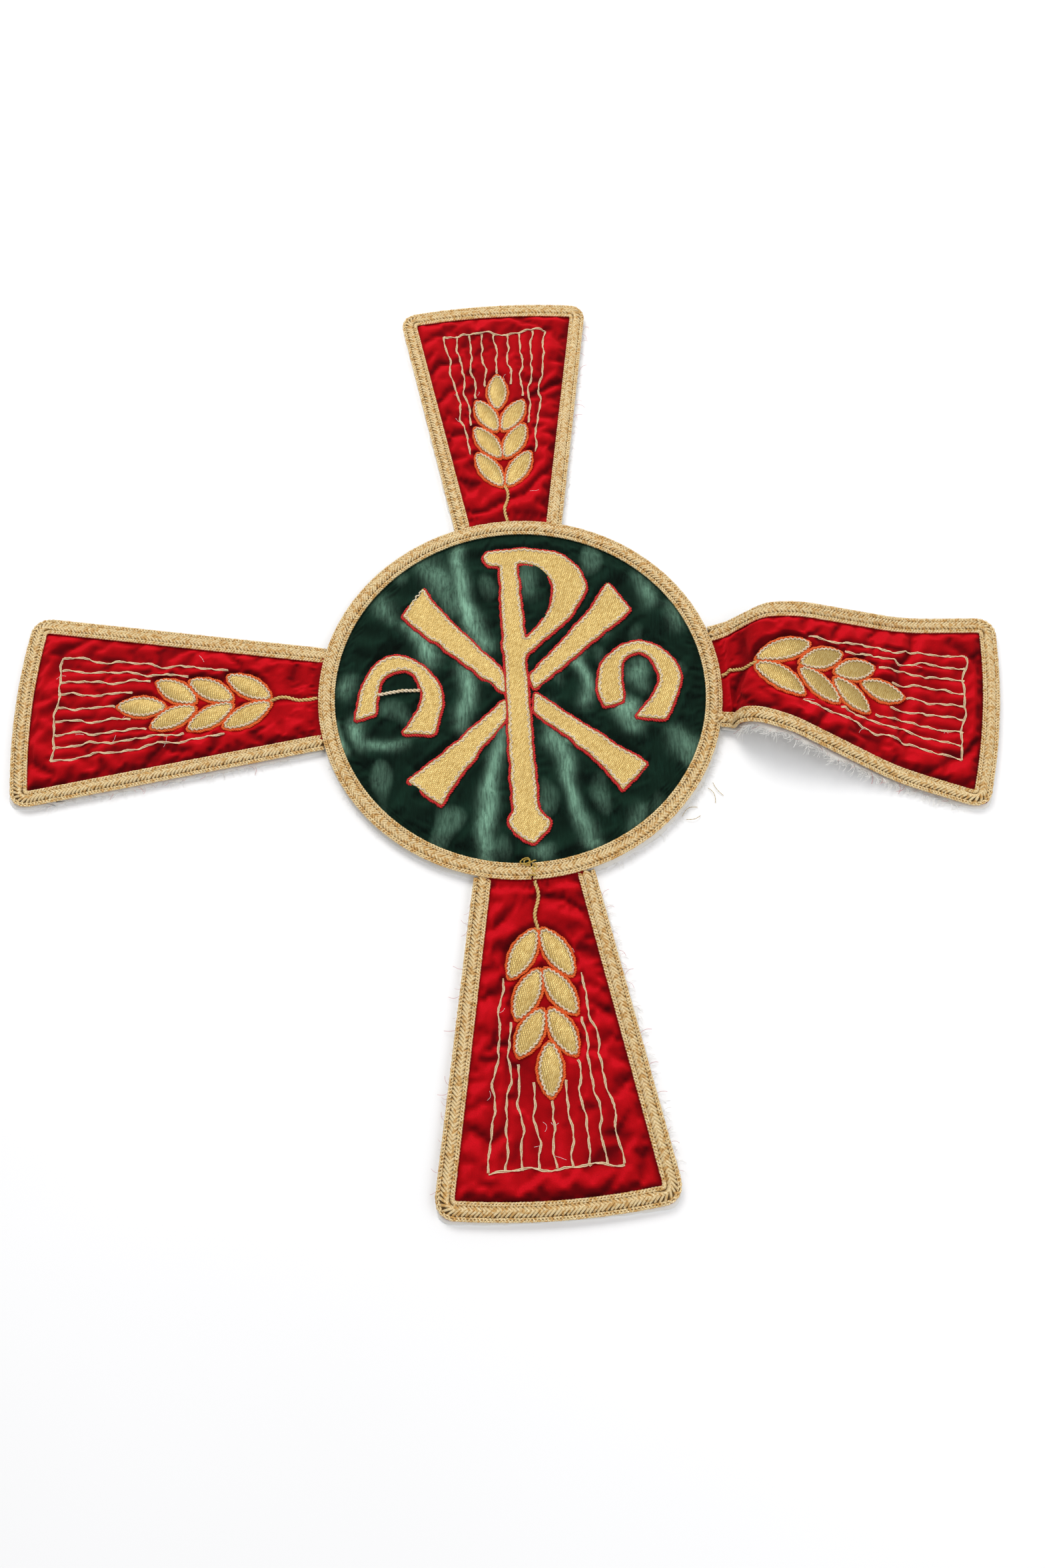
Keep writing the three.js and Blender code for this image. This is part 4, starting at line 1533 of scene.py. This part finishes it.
MOTIFS = {
    "rho": outline(
        (-7.6, 83), (-13.5, 83), ("quad", (-20.5, 89), (-13.5, 94)), (5, 94.2),
        ("spline", [(27, 90), (38.5, 79), (42.6, 65), (34, 49), (19, 34), (5.4, 22.5)]),
        (4, 20), (5.8, -74.5), ("quad", (8, -79), (12.6, -81.5)), (9.5, -88), (1.2, -95), (-9, -87),
        (-11, -80), ("quad", (-8, -77), (-7.8, -72)),
    ),
    "arched_letter": outline(
        (-93.8, -15),
        ("spline", [(-91.3, 0), (-83.5, 19), (-70, 25.6), (-55, 18.5), (-44.5, -0.5), (-49.5, -26)]),
        (-68, -24),
        ("spline", [(-60, -13), (-55.6, 0), (-61, 13.5), (-70.5, 16.5), (-79, 8.5), (-82, -11.5)]),
    ),
    "horseshoe_letter": outline(
        (46.2, -15),
        ("spline", [(44.6, 1), (50.5, 17), (68, 26.6), (84, 19.5), (92, 1), (81, -25)]),
        (63.5, -21.8),
        ("spline", [(73, -12), (79.8, 3), (75, 16), (67, 19.4), (58.6, 11), (58.4, -11.5)]),
    ),
    "chi_upper_left": outline(
        (-8.6, 12), ("quad", (-44, 52), (-54, 71)), (-66.5, 51.5), ("quad", (-48, 34), (-8.6, -2.6))
    ),
    "chi_upper_right": outline(
        (5.2, 7.5), ("quad", (47, 50), (55.5, 68)), (67.6, 47.5), ("quad", (50, 34), (8.4, -0.8))
    ),
    "chi_lower_left": outline(
        (-8.6, -6.2), ("quad", (-46, -40), (-65, -53)), (-47, -70), ("quad", (-40, -54), (-8.6, -18.5))
    ),
    "chi_lower_right": outline(
        (8.4, -2.6), ("quad", (53, -41), (68, -51)), (52.6, -67.3), ("quad", (44, -47), (6.4, -15.5))
    ),
}
RHO_COUNTER = outline((4.6, 32), ("spline", [(16.5, 45), (23, 61), (21.5, 73), (13, 82.2), (3, 84.6)]))
COUNTERS = {"rho": [RHO_COUNTER]}


def signed_area(loop):
    x, y = loop[:, 0], loop[:, 1]
    return 0.5 * float((x * np.roll(y, -1) - y * np.roll(x, -1)).sum())


def lame_face(name, loops, thickness, rounding):
    """A motif's face with rounded edges, from its outline and counters."""
    curve = bpy.data.curves.new(name, "CURVE")
    curve.dimensions = "2D"
    curve.fill_mode = "BOTH"
    curve.extrude = (thickness / 2 - rounding) * MM
    curve.bevel_depth = rounding * MM
    curve.bevel_resolution = 2
    curve.offset = -rounding * MM
    for loop in loops:
        path = curve.splines.new("POLY")
        path.points.add(len(loop) - 1)
        flat = np.column_stack([loop * MM, np.zeros(len(loop)), np.ones(len(loop))])
        path.points.foreach_set("co", flat.ravel())
        path.use_cyclic_u = True
    holder = link(name, curve)
    bpy.context.view_layer.update()
    graph = bpy.context.evaluated_depsgraph_get()
    mesh = bpy.data.meshes.new_from_object(holder.evaluated_get(graph), depsgraph=graph)
    bpy.data.objects.remove(holder)
    mesh.transform(Matrix.Translation((0, 0, (ROUNDEL_TRIM + thickness / 2) * MM)))
    return link(name, mesh)


def hand_cut(loop, seed):
    """The outline with its corners rounded off and a slight wobble."""
    loop = resample(loop, 0.8, True)
    for _ in range(8):
        loop = (np.roll(loop, 1, axis=0) + 2 * loop + np.roll(loop, -1, axis=0)) / 4
    x, y = loop.T
    wobble = np.column_stack([waves(x, y, seed, 7), waves(x, y, seed + 1, 7)])
    return loop + 0.35 * wobble


def make_motif(name, loop):
    seed = sum(map(ord, name)) % 97
    even = [hand_cut(x, seed) for x in (loop, *COUNTERS.get(name, []))]
    even = [x if signed_area(x) > 0 else x[::-1] for x in even]
    face = lame_face(name + "_face", even, 1.6, 0.4)
    attach(paint(face, LAME), "roundel", [name])
    edge_lines, red_lines = [], []
    for number, x in enumerate(even):
        inwards = 1 if number == 0 else -1
        inner = resample(aside(x, 1.15 * inwards, True), 0.7, True)
        outer = resample(aside(x, -0.5 * inwards, True), 0.7, True)
        for line, kept, height in ((inner, edge_lines, 1.65), (outer, red_lines, 0.35)):
            kept.append((np.column_stack([line, np.full(len(line), ROUNDEL_TRIM + height)]), (0, 0, 1)))
    edge = guide(name + "_edge_cord", edge_lines, closed=True)
    grow(
        edge, TWISTED, Pitch=0.0028, Steps=8, PlyRadius=0.00036, Twist=0.00028,
        Wave=0.0005, WavePitch=0.0036, Wander=0.0006, Seed=float(seed), Material=EDGE_CORD,
    )
    attach(edge, "roundel")
    red = guide(name + "_outline_cord", red_lines, closed=True)
    grow(
        red, TWISTED, Pitch=0.0031, Steps=8, PlyRadius=0.00058, Twist=0.00044,
        Wave=0.00016, WavePitch=0.0058, Wander=0.0009, Seed=seed + 5.0, Material=RED_CORD,
    )
    attach(red, "roundel")


# Where the green pile is crushed and shows its pale side: (strength, width, [(x, y), ...]).
CRUSHED = [
    (0.95, 4.6, [(-33, 93), (-31, 74), (-30, 56), (-24, 42), (-19, 31)]),
    (0.5, 6.5, [(-50, 86), (-44, 76), (-40, 66)]),
    (0.7, 4.8, [(-62, 46), (-56, 38), (-50, 24), (-49, 20)]),
    (0.72, 4.2, [(-31, 22), (-30, 8), (-31, -12), (-33, -22)]),
    (0.9, 2.8, [(-104, -16), (-103, -24), (-101, -32)]),
    (0.75, 4.0, [(-92, -14), (-90, -30)]),
    (0.5, 3.2, [(-90, -30), (-78, -32), (-66, -30)]),
    (0.95, 4.2, [(-11, -24), (-17, -45), (-21, -60), (-22, -78), (-25, -104)]),
    (0.75, 3.8, [(14, -12), (17, -33), (23, -54), (28, -79), (32, -94)]),
    (0.6, 2.6, [(17, -36), (26, -35), (37, -34)]),
    (0.8, 3.0, [(31, -94), (36, -98)]),
    (0.75, 4.0, [(36, 30), (36, 12), (37, -10)]),
    (0.85, 4.4, [(53, -5), (59, -16), (62, -27)]),
    (0.5, 3.6, [(50, 50), (50, 34)]),
    (0.35, 6.5, [(6, 80), (8, 66)]),
    (0.6, 5.0, [(67, 12), (69, -2)]),
    (0.4, 5.0, [(74, 70), (78, 52)]),
    (0.4, 4.5, [(92, 50), (94, 38)]),
    (0.4, 5.0, [(84, -32), (92, -44)]),
    (0.45, 3.0, [(4, -99), (11, -99)]),
    (0.4, 4.0, [(62, -78), (56, -88)]),
    (0.35, 4.0, [(-98, 12), (-99, 2)]),
    (0.4, 5.0, [(-78, 62), (-70, 52)]),
]


def roundel_velvet_shape(x, y):
    """Height of the green velvet above its flat height, and how crushed its pile is."""
    x2 = x + 1.8 * waves(x, y, 61, 16)
    y2 = y + 1.2 * waves(x, y, 62, 16)
    crush = np.zeros_like(x)
    for strength, width, line in CRUSHED:
        gap, share = distance_to_line(x2, y2, line)
        taper = 0.55 + 0.45 * np.sin(np.pi * np.clip(share, 0.04, 0.96))
        crush = np.maximum(crush, strength * taper * np.exp(-((gap / width) ** 2)))
    patches = np.clip(waves(x, y * 0.6, 63, 13) - 0.75, 0, 1) * 0.28
    crush = np.clip(crush + patches, 0, 1)
    height = 0.7 + 0.5 * waves(x2 * 1.8, y2 * 0.6, 64, 26) + 1.0 * crush
    radius = np.hypot(x, y)
    held = smoothstep(105.5 - radius, -1, 7)
    for name, loop in MOTIFS.items():
        coarse = loop[::3]
        gap, _ = distance_to_line(x, y, np.vstack([coarse, coarse[:1]]))
        inside = np.zeros(np.shape(x), bool)
        for (ax, ay), (bx, by) in zip(coarse, np.roll(coarse, -1, axis=0)):
            crosses = (ay > y) != (by > y)
            inside ^= crosses & (x < (bx - ax) * (y - ay) / (by - ay + 1e-12) + ax)
        if name == "rho":
            inside &= ~((x > 5) & (x < 21) & (y > 36) & (y < 83))
        held = held * np.where(inside, 0.0, smoothstep(gap, 0.3, 5.5))
    return np.clip(height, 0, 2.6) * held, crush, held


def make_roundel():
    count = 84
    radius = ROUNDEL_VELVET_RADIUS
    u, v = np.meshgrid(np.linspace(-1, 1, count + 1), np.linspace(-1, 1, count + 1), indexing="ij")
    x, y = radius * u * np.sqrt(1 - v * v / 2), radius * v * np.sqrt(1 - u * u / 2)
    relief, _, loose = roundel_velvet_shape(x, y)
    flat = wrinkled_grid("roundel", x, y, relief, 1 - loose, count, count, ROUNDEL_SLACK)
    fine = refined(flat, count, count)
    top = fine.copy()
    top[..., 2] = ROUNDEL_VELVET_TOP + np.clip(fine[..., 2], 0, 4)
    bottom = fine.copy()
    bottom[..., 2] = ROUNDEL_VELVET_BASE + 0.05
    velvet = slab("roundel_velvet_face", top, bottom, 2 * count, 2 * count)
    _, crush, _ = roundel_velvet_shape(fine[..., 0], fine[..., 1])
    lit = lit_shares(top, np.array([0.0, 0.0, 1.0]), gain=1.6).ravel()
    store(velvet.data, "lit", np.concatenate([lit, lit]))
    store(velvet.data, "crush", np.concatenate([crush.ravel(), crush.ravel()]))
    attach(paint(velvet, GREEN_VELVET), "roundel", ["roundel_velvet"])
    # The backing is a disc whose edge shows past the braid on the lower right.
    rings, spokes = 24, 240
    share, angle = np.linspace(0.02, 1, rings + 1), np.linspace(0, 2 * math.pi, spokes + 1)
    share, angle = np.meshgrid(share, angle, indexing="ij")
    lower_right = np.clip(np.cos(angle - math.radians(-48)), 0, 1) ** 2
    uneven = 0.5 + 0.5 * waves(115 * np.cos(angle), 115 * np.sin(angle), 71, 9)
    reach = ROUNDEL_RADIUS + np.clip(uneven, 0, 1.5) * (0.3 + 1.3 * lower_right)
    at = share * reach
    outside = np.stack([at * np.cos(angle), at * np.sin(angle), 0 * at], axis=-1)
    backing = disc_cloth("roundel_backing_cloth", outside, rings, spokes, 0.04, BACKING - 0.05)
    attach(paint(backing, BACKING_CLOTH), "roundel", ["roundel_backing"])
    paint_node("roundel_interlining", INTERLINING)
    # The braid goes once round and its ends butt at the bottom.
    middle = ROUNDEL_RADIUS - BRAID_WIDTH / 2
    gap = 0.5 / middle
    angle = np.linspace(gap, 2 * math.pi - gap, 700) - math.pi / 2
    line = np.stack([middle * np.cos(angle), middle * np.sin(angle), 0 * angle + ROUNDEL_TRIM], axis=-1)
    ups = np.tile([0.0, 0.0, 1.0], (len(line), 1))
    make_braid("roundel_gimp", "roundel", line, ups, "roundel_braid")
    for name, loop in MOTIFS.items():
        make_motif(name, loop)
    bar = spline([(-80.9, 1.2), (-74, 2.2), (-66, 3), (-56.8, 2.6)])
    bar = [(x, y, ROUNDEL_TRIM + 1.0) for x, y in bar]
    crossbar = guide("arched_letter_crossbar_cord", [(bar, (0, 0, 1))])
    grow(crossbar, TWISTED, Pitch=0.0046, PlyRadius=0.0006, Twist=0.0005, Wander=0.0005, Material=EDGE_CORD)
    attach(crossbar, "roundel", ["arched_letter_crossbar"])
    make_knot()
    make_roundel_frays()


def make_knot():
    """The knot that closes the braid: three loops, and three threads across the join."""
    turns = np.linspace(0, 2 * math.pi, 30)
    knot = []
    loops = [
        (-3.4, -104.6, 2.6, 1.5, 0.3),
        (-2.4, -105.2, 1.6, 1.7, -0.5),
        (1.6, -109, 0.9, 2.4, 0.1),
    ]
    for cx, cy, rx, ry, tilt in loops:
        px, py = rx * np.cos(turns), ry * np.sin(turns)
        x = cx + px * math.cos(tilt) - py * math.sin(tilt)
        y = cy + px * math.sin(tilt) + py * math.cos(tilt)
        knot.append((np.stack([x, y, 6.4 + 0.5 * np.sin(turns * 2)], axis=-1), (0, 0, 1)))
    threads = [(-1.6, -105.6, 2.6, -104.4), (-1.8, -108.8, 1.8, -109.4), (-1.4, -112.6, 2.0, -112.9)]
    for x0, y0, x1, y1 in threads:
        run = np.linspace(0, 1, 10)
        bowed = 6.2 + 0.6 * np.sin(np.pi * run)
        knot.append((np.stack([lerp(x0, x1, run), lerp(y0, y1, run), bowed], axis=-1), (0, 0, 1)))
    tie = guide("braid_knot", knot)
    grow(
        tie, TWISTED, Pitch=0.003, Steps=7, PlyRadius=0.00022, Twist=0.00018,
        Wander=0.0008, Material=YELLOW_THREAD,
    )
    attach(tie, "roundel")


def make_roundel_frays():
    """Fibres out of the backing's edge, thickest on the lower right, and stray threads there."""
    arcs = (("lower_right", -82, -12, 0.00032, 0.0046), ("left", 182, 262, 0.0009, 0.0026))
    for label, first, last, spacing, length in arcs:
        angle = np.radians(np.linspace(last, first, 120))
        line = np.stack([115.6 * np.cos(angle), 115.6 * np.sin(angle), 0 * angle + 0.7], axis=-1)
        fibres = guide("roundel_frayed_edge_" + label, [(line, (0, 0, 1))])
        grow(fibres, FRAY, Spacing=spacing, Length=length, Seed=21, Material=WHITE_LINT)
        attach(fibres, "roundel")
    stray = []
    threads = [(100, -66, 3, -9, 1.5), (103, -63, 5, -8, -1), (84, -82, 9, 5, 2), (86, -84, 8, 2, -1.5)]
    for x, y, dx, dy, bend in threads:
        run = np.linspace(0, 1, 16)[:, None]
        line = np.array([x, y, 0.8]) + run * [dx, dy, -0.3]
        line = line + np.sin(np.pi * run) * [-dy * bend * 0.1, dx * bend * 0.1, 0.8]
        stray.append((line, (0, 0, 1)))
    loose = guide("stray_yellow_threads", stray)
    grow(loose, TWISTED, Pitch=0.004, Steps=6, PlyRadius=0.0001, Twist=0.00006, Material=YELLOW_THREAD)
    attach(loose, "roundel")


def disc_cloth(name, points, rings, spokes, low, high):
    """A closed round sheet from rings of points; the last spoke repeats the first."""
    points = points[:, :spokes]
    top, bottom = points.copy(), points.copy()
    top[..., 2], bottom[..., 2] = high, low
    count = (rings + 1) * spokes
    made = [*top.reshape(-1, 3), *bottom.reshape(-1, 3), (0, 0, high), (0, 0, low)]
    faces = []
    for j in range(spokes):
        k = (j + 1) % spokes
        for i in range(rings):
            a, b = i * spokes + j, i * spokes + k
            c, d = a + spokes, b + spokes
            faces.append((a, c, d, b))
            faces.append((b + count, d + count, c + count, a + count))
        edge_a, edge_b = rings * spokes + j, rings * spokes + k
        faces.append((edge_a, edge_a + count, edge_b + count, edge_b))
        faces.append((2 * count, j, k))
        faces.append((2 * count + 1, k + count, j + count))
    return mesh_object(name, made, faces)


def paint_node(name, material):
    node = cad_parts[name]
    node.data.materials.clear()
    node.data.materials.append(material)


make_roundel()
for arm_name, arm_facts in ARMS.items():
    make_arm(arm_name, arm_facts)

# ---- Floor and light ----


def make_floor():
    made, tree, shader, place = new_material("floor", Roughness=0.75)
    tone = noise(tree, place, 3.0, 3.0)
    tree.links.new(mix(tree, tone, rgb("f3f3f3"), rgb("f8f8f9")), shader.inputs["Base Color"])
    shader.inputs["Specular IOR Level"].default_value = 0.15
    side = 3000
    points = [(-side, -side, -0.1), (side, -side, -0.1), (side, side, -0.1), (-side, side, -0.1)]
    floor = mesh_object("floor", points, [(0, 1, 2, 3)])
    paint(floor, made)


def area_light(name, place, size, power, color):
    lamp = bpy.data.lights.new(name, "AREA")
    lamp.shape = "DISK"
    lamp.size = size
    lamp.energy = power
    lamp.color = color
    made = link(name, lamp)
    made.location = place
    made.rotation_euler = (-Vector(place)).to_track_quat("-Z", "Y").to_euler()


make_floor()
area_light("key", (-0.35, 0.95, 1.35), 0.9, 16, (1.0, 0.985, 0.96))
area_light("fill", (0.9, -0.5, 1.1), 1.2, 6, (0.97, 0.985, 1.0))
world = bpy.data.worlds.new("studio")
world.use_nodes = True
world.node_tree.nodes["Background"].inputs["Color"].default_value = (0.98, 0.985, 1.0, 1.0)
world.node_tree.nodes["Background"].inputs["Strength"].default_value = 0.62
scene.world = world
scene.view_settings.view_transform = "Standard"
